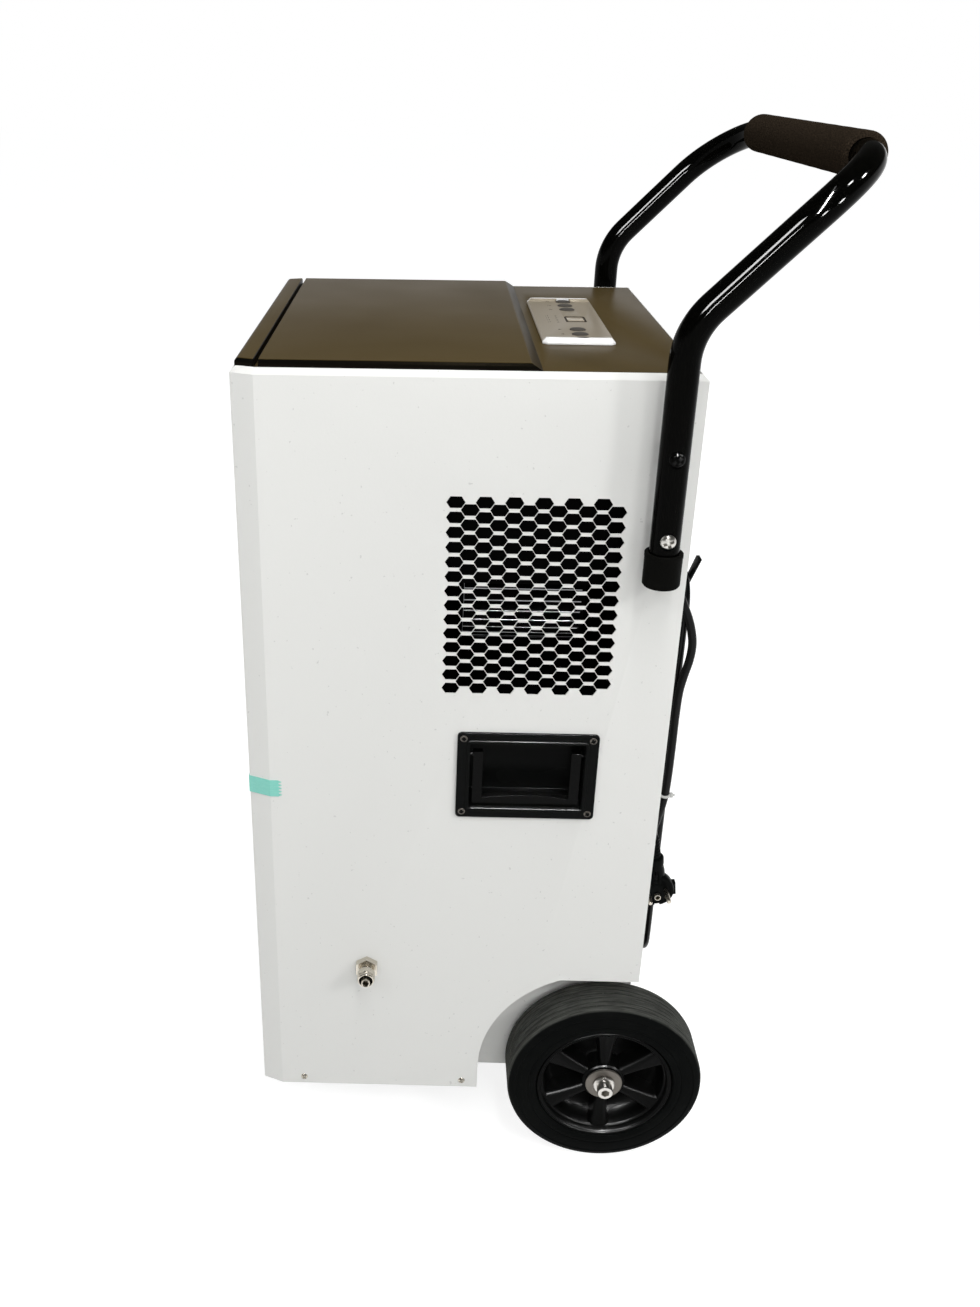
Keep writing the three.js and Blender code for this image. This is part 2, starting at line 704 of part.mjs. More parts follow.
function pushHandle() {
  const seat = tubeSide + tubeRadius - 1.2; // flat for each screw head
  const standOffs = [];
  const openings = [];
  for (const { sign } of sides) {
    for (const z of Object.values(handleScrewHeights)) {
      standOffs.push(onSide(sign, rod('x', 8, halfBody + gap, tubeSide - tubeRadius + 1.5, 12)
        .translate(0, legSetBack, z)));
      openings.push(onSide(sign, rod('x', 3 + gap, halfBody - 5, seat + 10, 8)
        .translate(0, legSetBack, z)));
      openings.push(onSide(sign, rod('x', 7.5, seat, seat + 10, 12).translate(0, legSetBack, z)));
    }
  }
  const tube = sweptTube(handlePath(), tubeRadius, tubeRadius - tubeWall, 12);
  add('handle_tube', cut(join(tube, ...standOffs), ...openings), blackPaint);

  const grip = ring('x', tubeRadius + gap, gripRadius, -gripLength / 2, gripLength / 2, 24);
  grip.translate(0, crossbarSetBack, crossbarHeight);
  add('handle_grip', grip, foam);

  for (const { name, sign } of sides) {
    const floor = legBottom - gap;
    const cap = turned('z', [
      [0, floor - 3.5], [capRadius - 2, floor - 3.5], [capRadius, floor - 1.5], [capRadius, floor + 26.5],
      [tubeRadius + gap, floor + 26.5], [tubeRadius + gap, floor], [0, floor],
    ], 22);
    add(`end_cap_${name}`, cap.translate(sign * tubeSide, legSetBack, 0), rubber);
    for (const [level, z] of Object.entries(handleScrewHeights)) {
      const screw = join(
        turned('x', [
          [0, seat + gap], [6.5, seat + gap], [6.5, seat + 1.8], [4.5, seat + 3.3], [0, seat + 3.7],
        ], 14),
        rod('x', 3, innerSide - 8, seat + 1, 10));
      add(`handle_screw_${level}_${name}`,
        onSide(sign, cut(screw, block(seat + 2.5, seat + 5, -3.5, 3.5, -0.7, 0.7),
          block(seat + 2.5, seat + 5, -0.7, 0.7, -3.5, 3.5)).translate(0, legSetBack, z)),
        level === 'lower' ? steel : blackPaint);
    }
  }
}
pushHandle();

// ---------------------------------------------------------------- folding carry handles
const hingeHeight = pullHeight + pocketRise / 2 - hingeBelowLip;
const hingeSide = halfBody - 4;

function carryHandle({ name, sign }) {
  const plate = prism('x', roundedRectangle(pullLength, pullRise, 4, pullMiddle, pullHeight),
    halfBody + gap, halfBody + gap + pullFlange);
  const cup = block(halfBody - pocketDepth, halfBody + 1,
    pullMiddle - pocketLength / 2 - pocketWall, pullMiddle + pocketLength / 2 + pocketWall,
    pullHeight - pocketRise / 2 - pocketWall, pullHeight + pocketRise / 2 + pocketWall);
  const pocket = block(halfBody - pocketDepth + pocketWall, halfBody + 10,
    pullMiddle - pocketLength / 2, pullMiddle + pocketLength / 2,
    pullHeight - pocketRise / 2, pullHeight + pocketRise / 2);
  const pinHole = rod('y', pinRadius + gap, pullMiddle - pullLength, pullMiddle + pullLength, 12)
    .translate(hingeSide, 0, hingeHeight);
  add(`pull_tray_${name}`, onSide(sign, cut(join(plate, cup), pocket, pinHole)), blackPlastic);

  // a flat bail: two legs, a bottom bar with an arched upper edge, and a pin at each hinge end
  const half = bailLength / 2;
  const eye = bailThickness / 2 + 0.5;
  const shape = new THREE.Shape();
  shape.moveTo(-half, eye);
  shape.lineTo(-half, -bailDrop + 4);
  shape.quadraticCurveTo(-half, -bailDrop, -half + 4, -bailDrop);
  shape.lineTo(half - 4, -bailDrop);
  shape.quadraticCurveTo(half, -bailDrop, half, -bailDrop + 4);
  shape.lineTo(half, eye);
  shape.lineTo(half - bailBar, eye);
  shape.lineTo(half - bailBar, -bailDrop + bailLip);
  shape.quadraticCurveTo(0, -bailDrop + bailLip + 7, -half + bailBar, -bailDrop + bailLip);
  shape.lineTo(-half + bailBar, eye);
  shape.closePath();
  const flat = prism('x', shape, -bailThickness / 2, bailThickness / 2);
  const pins = rod('y', pinRadius, -pocketLength / 2 - pocketWall / 2, -half + 2, 12);
  const farPins = rod('y', pinRadius, half - 2, pocketLength / 2 + pocketWall / 2, 12);
  const bail = add(`pull_bail_${name}`, join(flat, pins, farPins), blackPaint);
  bail.position.set(sign * hingeSide, pullMiddle, hingeHeight);
}
sides.forEach(carryHandle);

// ---------------------------------------------------------------- drain
function drain() {
  const bore = 3;
  const thread = 6.25;
  const nipple = 4.65;
  const outer = halfBody + gap;
  const hexagonEnd = outer + 6.5;
  const threadEnd = hexagonEnd + 5;
  const tip = halfBody + 27;
  const root = innerSide - 16;
  const stem = turned('x', [
    [bore, root], [thread, root], [thread, threadEnd], [nipple, threadEnd], [nipple, tip],
    [bore, tip], [bore, root],
  ], 12);
  const hexagon = prism('x', polygon(6, 21 / Math.sqrt(3), Math.PI / 2), outer, hexagonEnd);
  const lockNut = prism('x', polygon(6, 21 / Math.sqrt(3)), innerSide - 5, innerSide);
  const clear = rod('x', bore, root - 5, tip + 1, 12);
  add('drain_fitting', cut(join(stem, hexagon, lockNut), clear).translate(0, drainMiddle, drainHeight),
    nickel);

  const start = threadEnd + gap;
  const nut = turned('x', [
    [nipple + gap, start], [8.75, start], [8.75, start + 8.5], [7, start + 11],
    [nipple + gap, start + 11], [nipple + gap, start],
  ], 20);
  add('hose_nut', nut.translate(0, drainMiddle, drainHeight), nickel);

  const end = innerSide - 16 - gap;
  const hose = new THREE.CatmullRomCurve3([
    new THREE.Vector3(end, drainMiddle, drainHeight),
    new THREE.Vector3(end - 8, drainMiddle, drainHeight),
    new THREE.Vector3(end - 20, drainMiddle, drainHeight + 7),
    new THREE.Vector3(end - 26, drainMiddle, drainHeight + 19),
    new THREE.Vector3(end - 26, drainMiddle, trayBottom - gap),
  ]);
  add('drain_hose', bar(hose, 5.5, 8, 10), rubber);
  return end - 26;
}
const hoseTop = drain();

// ---------------------------------------------------------------- works inside
function coils() {
  const trayWall = 2;
  const trayFront = bodyFront + 14;
  const trayRear = ductFront - 30;
  add('drip_tray', cut(
    block(-innerSide, innerSide, trayFront + 8, trayRear, trayBottom, trayBottom + trayHeight),
    block(-innerSide + trayWall, innerSide - trayWall, trayFront + 8 + trayWall, trayRear - trayWall,
      trayBottom + trayWall, trayBottom + trayHeight + 1),
    rod('z', 4, trayBottom - 1, trayBottom + trayWall + 1, 16).translate(hoseTop, drainMiddle, 0)),
  blackPlastic);

  const half = coilWidth / 2;
  const foot = trayBottom + trayWall + gap;
  const coil = (front, rear) => join(
    block(-half, half, front, rear, foot + 4, coilTop - 4),
    ...[-1, 1].map((side) => block(
      side * half - 1, side * half + 1, front - 3, rear + 3, foot, coilTop)));
  add('evaporator', coil(bodyFront + 30, bodyFront + 75), aluminium);
  add('condenser', coil(bodyFront + 86, bodyFront + 126), aluminium);
}
coils();

function compressor() {
  const middle = new THREE.Vector3(-40, 30, 0);
  const floor = bodyBottom + sheet + gap;
  const shell = turned('z', [
    [0, floor + 14], [compressorRadius - 12, floor + 14], [compressorRadius, floor + 26],
    [compressorRadius, compressorTop - 25], [compressorRadius - 10, compressorTop - 8],
    [18, compressorTop], [0, compressorTop],
  ], 22);
  const plate = prism('z', polygon(3, 100, Math.PI / 2), floor + 12, floor + 16);
  const feet = polygon(3, 82, Math.PI / 2).map(([x, y]) =>
    rod('z', 11, floor, floor + 14, 10).translate(x, y, 0));
  const accumulator = rod('z', 24, floor + 70, compressorTop - 60, 20).translate(-compressorRadius - 22, 0, 0);
  const bracket = block(-compressorRadius - 22, 0, -6, 6, floor + 110, floor + 125);
  const outlet = rod('z', 4, compressorTop - 2, compressorTop + 14, 10);
  add('compressor', join(shell, plate, ...feet, accumulator, bracket, outlet)
    .translate(middle.x, middle.y, 0), blackPaint);

  const start = new THREE.Vector3(middle.x, middle.y, compressorTop + 14 + gap);
  const condenserRear = bodyFront + 126;
  const pipe = new THREE.CatmullRomCurve3([
    start,
    new THREE.Vector3(middle.x, middle.y, compressorTop + 40),
    new THREE.Vector3(middle.x - 10, middle.y - 20, compressorTop + 75),
    new THREE.Vector3(middle.x - 40, middle.y - 62, compressorTop + 100),
    new THREE.Vector3(middle.x - 60, condenserRear + 16, compressorTop + 114),
    new THREE.Vector3(middle.x - 60, condenserRear + gap, compressorTop + 114),
  ]);
  add('refrigerant_pipe', bar(pipe, 4, 8, 20), copper);
}
compressor();

/** Fan housing open towards the outlet, the fan in it, and the motor behind. */
function blower() {
  const z = outletHeight;
  const wall = 2;
  const outer = ductHeight / 2 + wall;
  const housingShape = (rise, end) => {
    const shape = new THREE.Shape();
    // drawn in (z, x): a half circle round the fan, then straight to the outlet
    shape.moveTo(z - rise, end);
    shape.lineTo(z - rise, fanMiddle);
    shape.absarc(z, fanMiddle, rise, Math.PI, 2 * Math.PI, false);
    shape.lineTo(z + rise, end);
    shape.closePath();
    return shape;
  };
  const housing = cut(
    prism('y', housingShape(outer, innerSide), ductFront - wall, ductRear + wall),
    prism('y', housingShape(ductHeight / 2, innerSide + 5), ductFront, ductRear),
    rod('y', fanRadius - 8, ductFront - 5, ductFront + 1, 32).translate(fanMiddle, 0, fanHeight),
    rod('y', 8, ductRear - 1, ductRear + 5, 16).translate(fanMiddle, 0, fanHeight));
  // the lip that divides the outgoing air from the upper half of the fan
  const lipSide = fanMiddle + fanRadius + lipClearance;
  const lip = block(
    lipSide, lipSide + wall, ductFront - wall / 2, ductRear + wall / 2,
    fanHeight + lipRise, z + ductHeight / 2 + wall / 2);
  add('fan_housing', join(housing, lip), blackPlastic);

  const fanRear = ductRear - 24;
  const fanFront = fanRear - fanDepth;
  const blades = Array.from({ length: bladeCount }, (_, i) =>
    block(-0.8, 0.8, fanFront + 2, fanRear - 1, -7.5, 7.5)
      .rotateY(0.5).translate(0, 0, fanRadius - 9).rotateY((i / bladeCount) * 2 * Math.PI));
  const wheel = join(
    rod('y', fanRadius, fanRear - 2, fanRear, 40),
    ring('y', fanRadius - 17, fanRadius, fanFront, fanFront + 3, 40),
    ring('y', 4 + gap, 14, fanRear - 24, fanRear - 1, 20),
    ...blades);
  const bored = cut(wheel, rod('y', 4 + gap, fanFront - 1, fanRear + 5, 16));
  add('impeller', bored, galvanised).position.set(fanMiddle, 0, fanHeight);

  const motorFront = ductRear + wall + gap;
  const motor = join(
    turned('y', [
      [0, motorFront], [42, motorFront], [42, motorFront + 30], [34, motorFront + 44],
      [0, motorFront + 44],
    ], 24),
    rod('y', 4, fanRear - 22, motorFront + 2, 16));
  add('fan_motor', motor.translate(fanMiddle, 0, fanHeight), blackPaint);
}
blower();

// ---------------------------------------------------------------- wheels and feet
const hubOuter = wheelOuter - 6.5;
const washerOuter = hubOuter + gap + 2.2;

function wheelGeometry() {
  const shoulder = 6;
  const groove = 1.6;
  const half = wheelWidth / 2;
  const inner = rimRadius + gap;
  const grooves = [-10, 0, 10].flatMap((along) => [
    [wheelRadius, along - 1], [wheelRadius - groove, along - 0.6],
    [wheelRadius - groove, along + 0.6], [wheelRadius, along + 1],
  ]);
  const tyre = turned('x', [
    [inner, -half + 3], [inner + 4, -half], [wheelRadius - shoulder - 2, -half],
    [wheelRadius - 1.8, -half + 2], [wheelRadius, -half + shoulder],
    ...grooves,
    [wheelRadius, half - shoulder], [wheelRadius - 1.8, half - 2], [wheelRadius - shoulder - 2, half],
    [inner + 4, half], [inner, half - 3], [inner, -half + 3],
  ], 34);
  const hubEnd = hubOuter - (wheelOuter - half);
  const hubStart = wellWall + gap - (wheelOuter - half);
  const barrel = ring('x', rimRadius - 5, rimRadius, -half + 3, half - 3, 36);
  const web = ring('x', hubRadius - 2, rimRadius - 3, -3, 1, 28);
  const hub = ring('x', axleRadius + gap, hubRadius, hubStart, hubEnd, 24);
  const spokes = Array.from({ length: 6 }, (_, i) => prism('x', [
    [-5, hubRadius - 2], [5, hubRadius - 2], [9.5, rimRadius - 4], [-9.5, rimRadius - 4],
  ], -1, half - 6).rotateX((i / 6) * 2 * Math.PI));
  return { tyre, rim: join(barrel, web, hub, ...spokes) };
}

function wheels() {
  const { tyre, rim } = wheelGeometry();
  for (const { name, sign } of sides) {
    const corner = new THREE.Group();
    corner.position.set(sign * (wheelOuter - wheelWidth / 2), axleSetBack, wheelRadius);
    machine.add(corner);
    add(`tyre_${name}`, onSide(sign, tyre), rubber, corner);
    add(`wheel_rim_${name}`, onSide(sign, rim), blackPlastic, corner);
    const washer = ring('x', 5 + gap, 19, hubOuter + gap, washerOuter, 32);
    add(`wheel_washer_${name}`, onSide(sign, washer).translate(0, axleSetBack, wheelRadius), steel);
    const head = washerOuter + gap;
    const screw = cut(
      turned('x', [
        [0, hubOuter - 24], [5, hubOuter - 24], [5, head], [11, head], [11, head + 2.5],
        [8, head + 2.5], [8, head + 12], [7, head + 12.5], [0, head + 12.5],
      ], 18),
      prism('x', polygon(6, 4.6), head + 6, head + 14));
    add(`wheel_screw_${name}`, onSide(sign, screw).translate(0, axleSetBack, wheelRadius), steel);
  }
  const reach = hubOuter;
  const axle = cut(
    rod('x', axleRadius, -reach, reach, 28),
    ...sides.map(({ sign }) => onSide(sign, rod('x', 5 + gap, reach - 28, reach + 1, 16))));
  add('axle', axle.translate(0, axleSetBack, wheelRadius), steel);
}
wheels();

function frontFeet() {
  for (const { name, sign } of sides) {
    const foot = turned('z', [
      [0, 0], [21, 0], [23, 2], [23, 14], [16, 20], [16, bodyBottom - 8], [23, bodyBottom - 4],
      [23, bodyBottom - gap], [0, bodyBottom - gap],
    ], 20);
    add(`front_foot_${name}`, foot.translate(sign * 95, bodyFront + 52, 0), rubber);
  }
}
frontFeet();

// ---------------------------------------------------------------- cord, hooks and plug
const rearFace = halfSide + gap;
const hankFront = hankMiddle - hankSkin;
const hankBack = hankMiddle + (hankLayers - 1) * hankPitch + hankSkin;

function cordHooks() {
  const arch = hankRadius - hankSkin - 0.5;
  const thick = 3;
  const halfTongue = 6;
  const saddleEnd = rearFace + saddleReach;
  for (const [level, z] of Object.entries(hookHeights)) {
    // drawn in (z, x): a half ring whose crown faces away from the other hook
    const saddle = new THREE.Shape();
    saddle.absarc(0, 0, arch, -Math.PI / 2, Math.PI / 2, false);
    saddle.absarc(0, 0, arch - thick, Math.PI / 2, -Math.PI / 2, true);
    saddle.closePath();
    const curved = prism('y', saddle, rearFace, saddleEnd);
    const backing = new THREE.Shape();
    backing.moveTo(-14, -arch);
    backing.absarc(0, 0, arch, -Math.PI / 2, Math.PI / 2, false);
    backing.lineTo(-14, arch);
    backing.closePath();
    const plate = prism('y', backing, rearFace, rearFace + 2.5);
    // the tongue runs on from the crown and turns up behind the last layer
    const { reach, lean, length } = hookTongues[level];
    const end = rearFace + reach;
    const crown = Math.sqrt(arch * arch - halfTongue * halfTongue);
    const tongue = prism('x', [
      [saddleEnd - 5, crown - thick], [end, crown - thick], [end + lean, arch + length],
      [end + lean - 3, arch + length], [end - 1.2, crown], [saddleEnd - 5, crown],
    ], -halfTongue, halfTongue);
    const hook = join(curved, plate, tongue);
    if (level === 'lower') hook.rotateY(Math.PI);
    add(`cord_hook_${level}`, hook.translate(hookSide, 0, z), blackPlastic);
  }
}
cordHooks();

/** The wound turns as one band that runs round both hooks. */
function cordHank() {
  const { lower, upper } = hookHeights;
  const band = (radius) => {
    const shape = new THREE.Shape();
    shape.absarc(upper, 0, radius, -Math.PI / 2, Math.PI / 2, false);
    shape.absarc(lower, 0, radius, Math.PI / 2, 1.5 * Math.PI, false);
    shape.closePath();
    return shape;
  };
  const outline = band(hankRadius + hankSkin);
  outline.holes.push(band(hankRadius - hankSkin));
  add('cord_hank', prism('y', outline, hankFront, hankBack).translate(hookSide, 0, 0), rubber);
}
cordHank();

const vectors = (points) => points.map(([x, y, z]) => new THREE.Vector3(x, y, z));

/** Gland that turns the cord upwards, the run from it to the turns, and the free end down to the plug. */
function cordEnds() {
  const bootSetBack = rearFace + 11;
  const bootTop = cordExit.z + 34;
  const throughWall = turned('y', [
    [0, innerRear - 8], [6.5, innerRear - 8], [6.5, rearFace], [12, rearFace], [12, rearFace + 4],
    [9, rearFace + 5], [9, bootSetBack], [0, bootSetBack],
  ], 20);
  const boot = turned('z', [
    [0, -9], [7, -9], [9, -7], [9, 9], [7.5, 14], [5.6, bootTop - cordExit.z], [0, bootTop - cordExit.z],
  ], 20).translate(0, bootSetBack, 0);
  add('cord_gland', join(throughWall, boot).translate(cordExit.x, 0, cordExit.z), blackPlastic);

  const beside = hookSide - hankRadius - hankSkin - cordRadius - gap;
  const lead = new THREE.CatmullRomCurve3(vectors([
    [cordExit.x, bootSetBack, bootTop + gap],
    [cordExit.x + 1, bootSetBack, bootTop + 14],
    [cordExit.x + 9, bootSetBack + 0.6, bootTop + 40],
    [beside - 28, bootSetBack + 2, cordExit.z + 103],
    [beside - 9, hankMiddle - 2, cordExit.z + 131],
    [beside - 1, hankMiddle - 0.5, cordExit.z + 156],
    [beside, hankMiddle, cordExit.z + 175],
  ]));
  add('cord_lead', bar(lead, cordRadius, 8, 22), rubber);

  // the free end leaves the turns low on their inner side and crosses over them at the upper hook
  const { lower, upper } = hookHeights;
  const lastLayer = hankBack - hankSkin;
  const overHook = (angle, setBack) => {
    const turn = THREE.MathUtils.degToRad(angle);
    return [hookSide + tailRadius * Math.sin(turn), setBack, upper + tailRadius * Math.cos(turn)];
  };
  const tail = new THREE.CatmullRomCurve3(vectors([
    [beside, lastLayer, lower + 88],
    [hookSide - tailRadius, lastLayer, lower + 125],
    [hookSide - tailRadius, lastLayer, lower + 220],
    [hookSide - tailRadius, lastLayer - 4.5, lower + 300],
    [hookSide - tailRadius, hankMiddle, lower + 360],
    overHook(-90, hankMiddle),
    overHook(-60, hankMiddle),
    overHook(-30, hankMiddle),
    overHook(0, hankMiddle),
    overHook(30, hankMiddle),
    overHook(58, hankMiddle + 0.6),
    [strandSide - 1.2, hankMiddle + 3.5, upper + 10],
    [strandSide, lastLayer + 1.8, upper - 6],
    [strandSide + 0.3, lastLayer + 6, upper - 19],
    [strandSide + 0.8, lastLayer + 8.6, upper - 34],
    [strandSide + 1.6, lastLayer + 7.6, upper - 50],
    [strandSide + 2.6, lastLayer + 3.8, upper - 67],
    [strandSide + 3.4, lastLayer + 1, upper - 83],
    [strandSide + 4.6, lastLayer - 0.2, upper - 106],
    [strandSide + 6, lastLayer - 0.5, upper - 143],
    [strandSide + 7, lastLayer - 1, upper - 177],
    [strandSide + 8, lastLayer - 2.2, upper - 200],
    [plugPlace.x - 1.4, lastLayer - 4.8, upper - 216],
    [plugPlace.x - 0.5, lastLayer - 7.6, upper - 228],
    [plugPlace.x, plugEnd.y - 0.7, plugEnd.z + 8],
    [plugPlace.x, plugEnd.y, plugEnd.z + gap],
  ]));
  add('cord_tail', bar(tail, cordRadius, 8, 52), rubber);
}

const tailRadius = hankRadius + hankSkin + cordRadius + tailClearance;
const strandSide = hookSide + tailRadius;
const plugPlace = { x: strandSide + 10.6, y: hankBack - 5.8, z: 279 }; // middle of the plug's round body
const plugEnd = {
  y: plugPlace.y - plugNeck * Math.sin(THREE.MathUtils.degToRad(plugLean)),
  z: plugPlace.z + plugNeck * Math.cos(THREE.MathUtils.degToRad(plugLean)),
};

/** Angled two-pin plug that hangs beside the turns, with its pins towards the outlet side. */
function plug() {
  const body = turned('x', [
    [0, -8], [13, -8], [17.5, -4], [18.5, 0], [18.5, 8], [17, 10], [0, 10],
  ], 20);
  const neck = turned('z', [
    [0, 8], [10, 8], [10, 20], [9, 30], [9, 38], [6.5, 39.5], [5.3, plugNeck], [0, plugNeck],
  ], 14);
  const pins = [-9.5, 9.5].map((y) => rod('x', 2.4, 9, 29, 10).translate(0, y, 0));
  add('power_plug', join(body, neck, ...pins)
    .rotateX(THREE.MathUtils.degToRad(plugLean))
    .translate(plugPlace.x, plugPlace.y, plugPlace.z), blackPlastic);
}
cordEnds();
plug();

/** Strip of transit tape from the side, round the chamfer, onto the front. */
function transitTape() {
  const bottom = 434.4;
  const top = 452;
  const thickness = 0.4;
  const outside = bodyOutline.map(([x, y]) => [x, y]);
  const inner = inset(outside, -gap);
  const outer = inset(outside, -gap - thickness);
  const band = cut(loft([[bottom, outer], [top, outer]]), loft([[bottom - 1, inner], [top + 1, inner]]));
  const reach = block(160, halfBody + 5, bodyFront - 5, -halfSide + 8, bottom, top);
  const teeth = Array.from({ length: 5 }, (_, i) => {
    const z = bottom + (i / 5) * (top - bottom);
    const pitch = (top - bottom) / 5;
    return prism('x', [
      [-halfSide + 7, z], [-halfSide + 11, z + pitch / 2], [-halfSide + 7, z + pitch],
    ], halfBody - 5, halfBody + 5);
  });
  add('transit_tape', common(band, join(reach, ...teeth)), tapeGreen);
}
transitTape();

export default machine;
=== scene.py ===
# %% [markdown]
# # A dehumidifier on wheels
#
# This lesson dresses the finished CAD frame of a wheeled dehumidifier. The frame already holds every part at its
# true size and place. Here the visible parts are modelled again with softer edges and finer detail, and every part
# gets a finish of its own. All lengths are in metres, as the frame's are, with the floor at zero height.

import json
import math

import bmesh
import bpy
from mathutils import Matrix, Vector

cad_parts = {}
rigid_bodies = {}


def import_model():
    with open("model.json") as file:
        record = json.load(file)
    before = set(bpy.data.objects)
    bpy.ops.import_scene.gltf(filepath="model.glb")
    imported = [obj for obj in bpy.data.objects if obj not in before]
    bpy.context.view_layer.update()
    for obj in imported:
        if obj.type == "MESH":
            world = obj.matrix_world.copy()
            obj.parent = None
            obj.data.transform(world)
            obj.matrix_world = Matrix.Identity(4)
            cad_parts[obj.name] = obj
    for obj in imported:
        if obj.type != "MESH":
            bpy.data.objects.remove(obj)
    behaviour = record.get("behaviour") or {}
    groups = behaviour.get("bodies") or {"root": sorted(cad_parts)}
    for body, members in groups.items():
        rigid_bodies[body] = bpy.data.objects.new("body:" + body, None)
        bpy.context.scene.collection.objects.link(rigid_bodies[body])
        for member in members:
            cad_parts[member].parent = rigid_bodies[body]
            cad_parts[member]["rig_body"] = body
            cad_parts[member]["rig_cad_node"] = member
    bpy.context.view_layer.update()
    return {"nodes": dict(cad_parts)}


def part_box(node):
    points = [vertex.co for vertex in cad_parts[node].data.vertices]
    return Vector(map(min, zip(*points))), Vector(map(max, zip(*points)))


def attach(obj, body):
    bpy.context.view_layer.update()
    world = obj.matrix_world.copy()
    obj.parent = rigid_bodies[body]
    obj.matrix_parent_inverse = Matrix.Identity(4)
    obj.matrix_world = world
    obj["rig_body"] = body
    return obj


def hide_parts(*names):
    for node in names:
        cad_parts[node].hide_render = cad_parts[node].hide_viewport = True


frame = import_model()

# %% [markdown]
# ## Places that several parts share
#
# The cabinet's own middle is a little in front of the whole object's middle, because the push handle leans far
# back. Measuring from the middle of the cabinet side keeps the numbers readable, so one shift is stated here and
# used for every front-to-rear place below.

# %% Shared places
MM = 0.001
SHIFT = -52.25  # middle of the flat cabinet side, measured from the whole object's middle
SIDES = {"right": 1, "left": -1}


def spot(x, y, z):
    """A place in cabinet millimetres as a point in metres."""
    return Vector((x * MM, (y + SHIFT) * MM, z * MM))


HALF_BODY = 209
BODY_TOP = 837
AXLE = spot(0, 154.5, 100)
print("axle at", [round(v, 4) for v in AXLE])

# %% [markdown]
# ## Camera
#
# The camera stands level with the top of the machine, well above the carry handle, and looks a little down at the
# side with the air outlet. A small lens shift keeps the machine off centre without tilting the camera.

# %% Camera
YAW, PITCH, ROLL = (math.radians(v) for v in (1.195, 24.963, 0.579))
FOCAL_PIXELS = 1205.327
PICTURE_WIDTH, PICTURE_HEIGHT = 980, 1307


def camera_matrix(place):
    """Turns the camera to look towards minus X, down by the pitch, with a slight roll."""
    heading = math.pi + YAW
    forward = Vector((
        math.cos(heading) * math.cos(PITCH), math.sin(heading) * math.cos(PITCH), -math.sin(PITCH)))
    level = forward.cross(Vector((0, 0, 1))).normalized()
    upward = level.cross(forward)
    right = math.cos(ROLL) * level + math.sin(ROLL) * upward
    above = -math.sin(ROLL) * level + math.cos(ROLL) * upward
    turn = Matrix((right, above, -forward)).transposed().to_4x4()
    return Matrix.Translation(place) @ turn


bpy.ops.object.select_all(action="DESELECT")
bpy.ops.object.camera_add()
camera = bpy.context.object
camera.name = "camera"
camera.matrix_world = camera_matrix(spot(1163.156, -41.544, 1058.574))
camera.data.sensor_width = 36
camera.data.lens = FOCAL_PIXELS / PICTURE_HEIGHT * 36
camera.data.shift_x = 89.299 / PICTURE_HEIGHT
camera.data.shift_y = -28.944 / PICTURE_HEIGHT
camera.data.clip_end = 50
bpy.context.scene.camera = camera
print("lens", round(camera.data.lens, 2), "mm")

# %% [markdown]
# ## Helpers for modelling by hand
#
# Blender's operators work on whatever is selected, just as the mouse does, so each step starts by clearing the
# selection. An outline is drawn the way one draws it by hand: one corner point is pushed out to the next with E,
# until the shape is closed and filled with F. After that it is given depth, or spun round an axis like clay on a
# wheel.

# %% Selecting and finishing
def clear():
    """Back to object mode with nothing selected."""
    if bpy.context.object and bpy.context.object.mode != "OBJECT":
        bpy.ops.object.mode_set(mode="OBJECT")
    bpy.ops.object.select_all(action="DESELECT")


def focus(piece):
    """Makes one piece the active and only selected one."""
    clear()
    bpy.context.view_layer.objects.active = piece
    piece.select_set(True)


def edit(piece, everything=True):
    """Opens a piece in edit mode with all of it, or none of it, selected."""
    focus(piece)
    bpy.ops.object.mode_set(mode="EDIT")
    bpy.ops.mesh.select_mode(type="VERT")
    bpy.ops.mesh.select_all(action="SELECT" if everything else "DESELECT")


def leave():
    bpy.ops.object.mode_set(mode="OBJECT")


def fix_place(piece):
    """Moves a piece's place into its mesh, so that its object sits unturned at the origin."""
    focus(piece)
    bpy.ops.object.transform_apply(location=True, rotation=True, scale=True)


def pick(piece, test, kind="FACE"):
    """Selects, in edit mode, the faces or edges whose middle and direction pass a test."""
    bpy.ops.mesh.select_all(action="DESELECT")
    bpy.ops.mesh.select_mode(type=kind)
    mesh = bmesh.from_edit_mesh(piece.data)
    count = 0
    for item in mesh.faces if kind == "FACE" else mesh.edges:
        if kind == "FACE":
            middle, way = item.calc_center_median(), item.normal
        else:
            first, second = (v.co for v in item.verts)
            middle, way = (first + second) / 2, (second - first)
        if test(middle, way):
            item.select_set(True)
            count += 1
    mesh.select_flush_mode()
    bmesh.update_edit_mesh(piece.data)
    return count


def modify(piece, kind, **settings):
    """Adds a modifier and applies it."""
    focus(piece)
    modifier = piece.modifiers.new(kind.lower(), kind)
    for key, value in settings.items():
        setattr(modifier, key, value)
    bpy.ops.object.modifier_apply(modifier=modifier.name)


def soften(piece, width, steps=2, angle=30):
    """Rounds every edge sharper than an angle, then shades the piece smooth between them."""
    modify(
        piece, "BEVEL", width=width * MM, segments=steps, limit_method="ANGLE",
        angle_limit=math.radians(angle), use_clamp_overlap=True, harden_normals=False)
    smooth(piece, angle)


def smooth(piece, angle=30):
    focus(piece)
    bpy.ops.object.shade_smooth_by_angle(angle=math.radians(angle))


# %% Drawing outlines
def first_corner(name, place):
    """A new piece that is a single point: a small plane merged to its middle."""
    clear()
    bpy.ops.mesh.primitive_plane_add(size=0.01)
    piece = bpy.context.object
    piece.name = name
    bpy.ops.object.mode_set(mode="EDIT")
    bpy.ops.mesh.select_all(action="SELECT")
    bpy.ops.mesh.merge(type="CENTER")
    bpy.ops.transform.translate(value=place)
    return piece


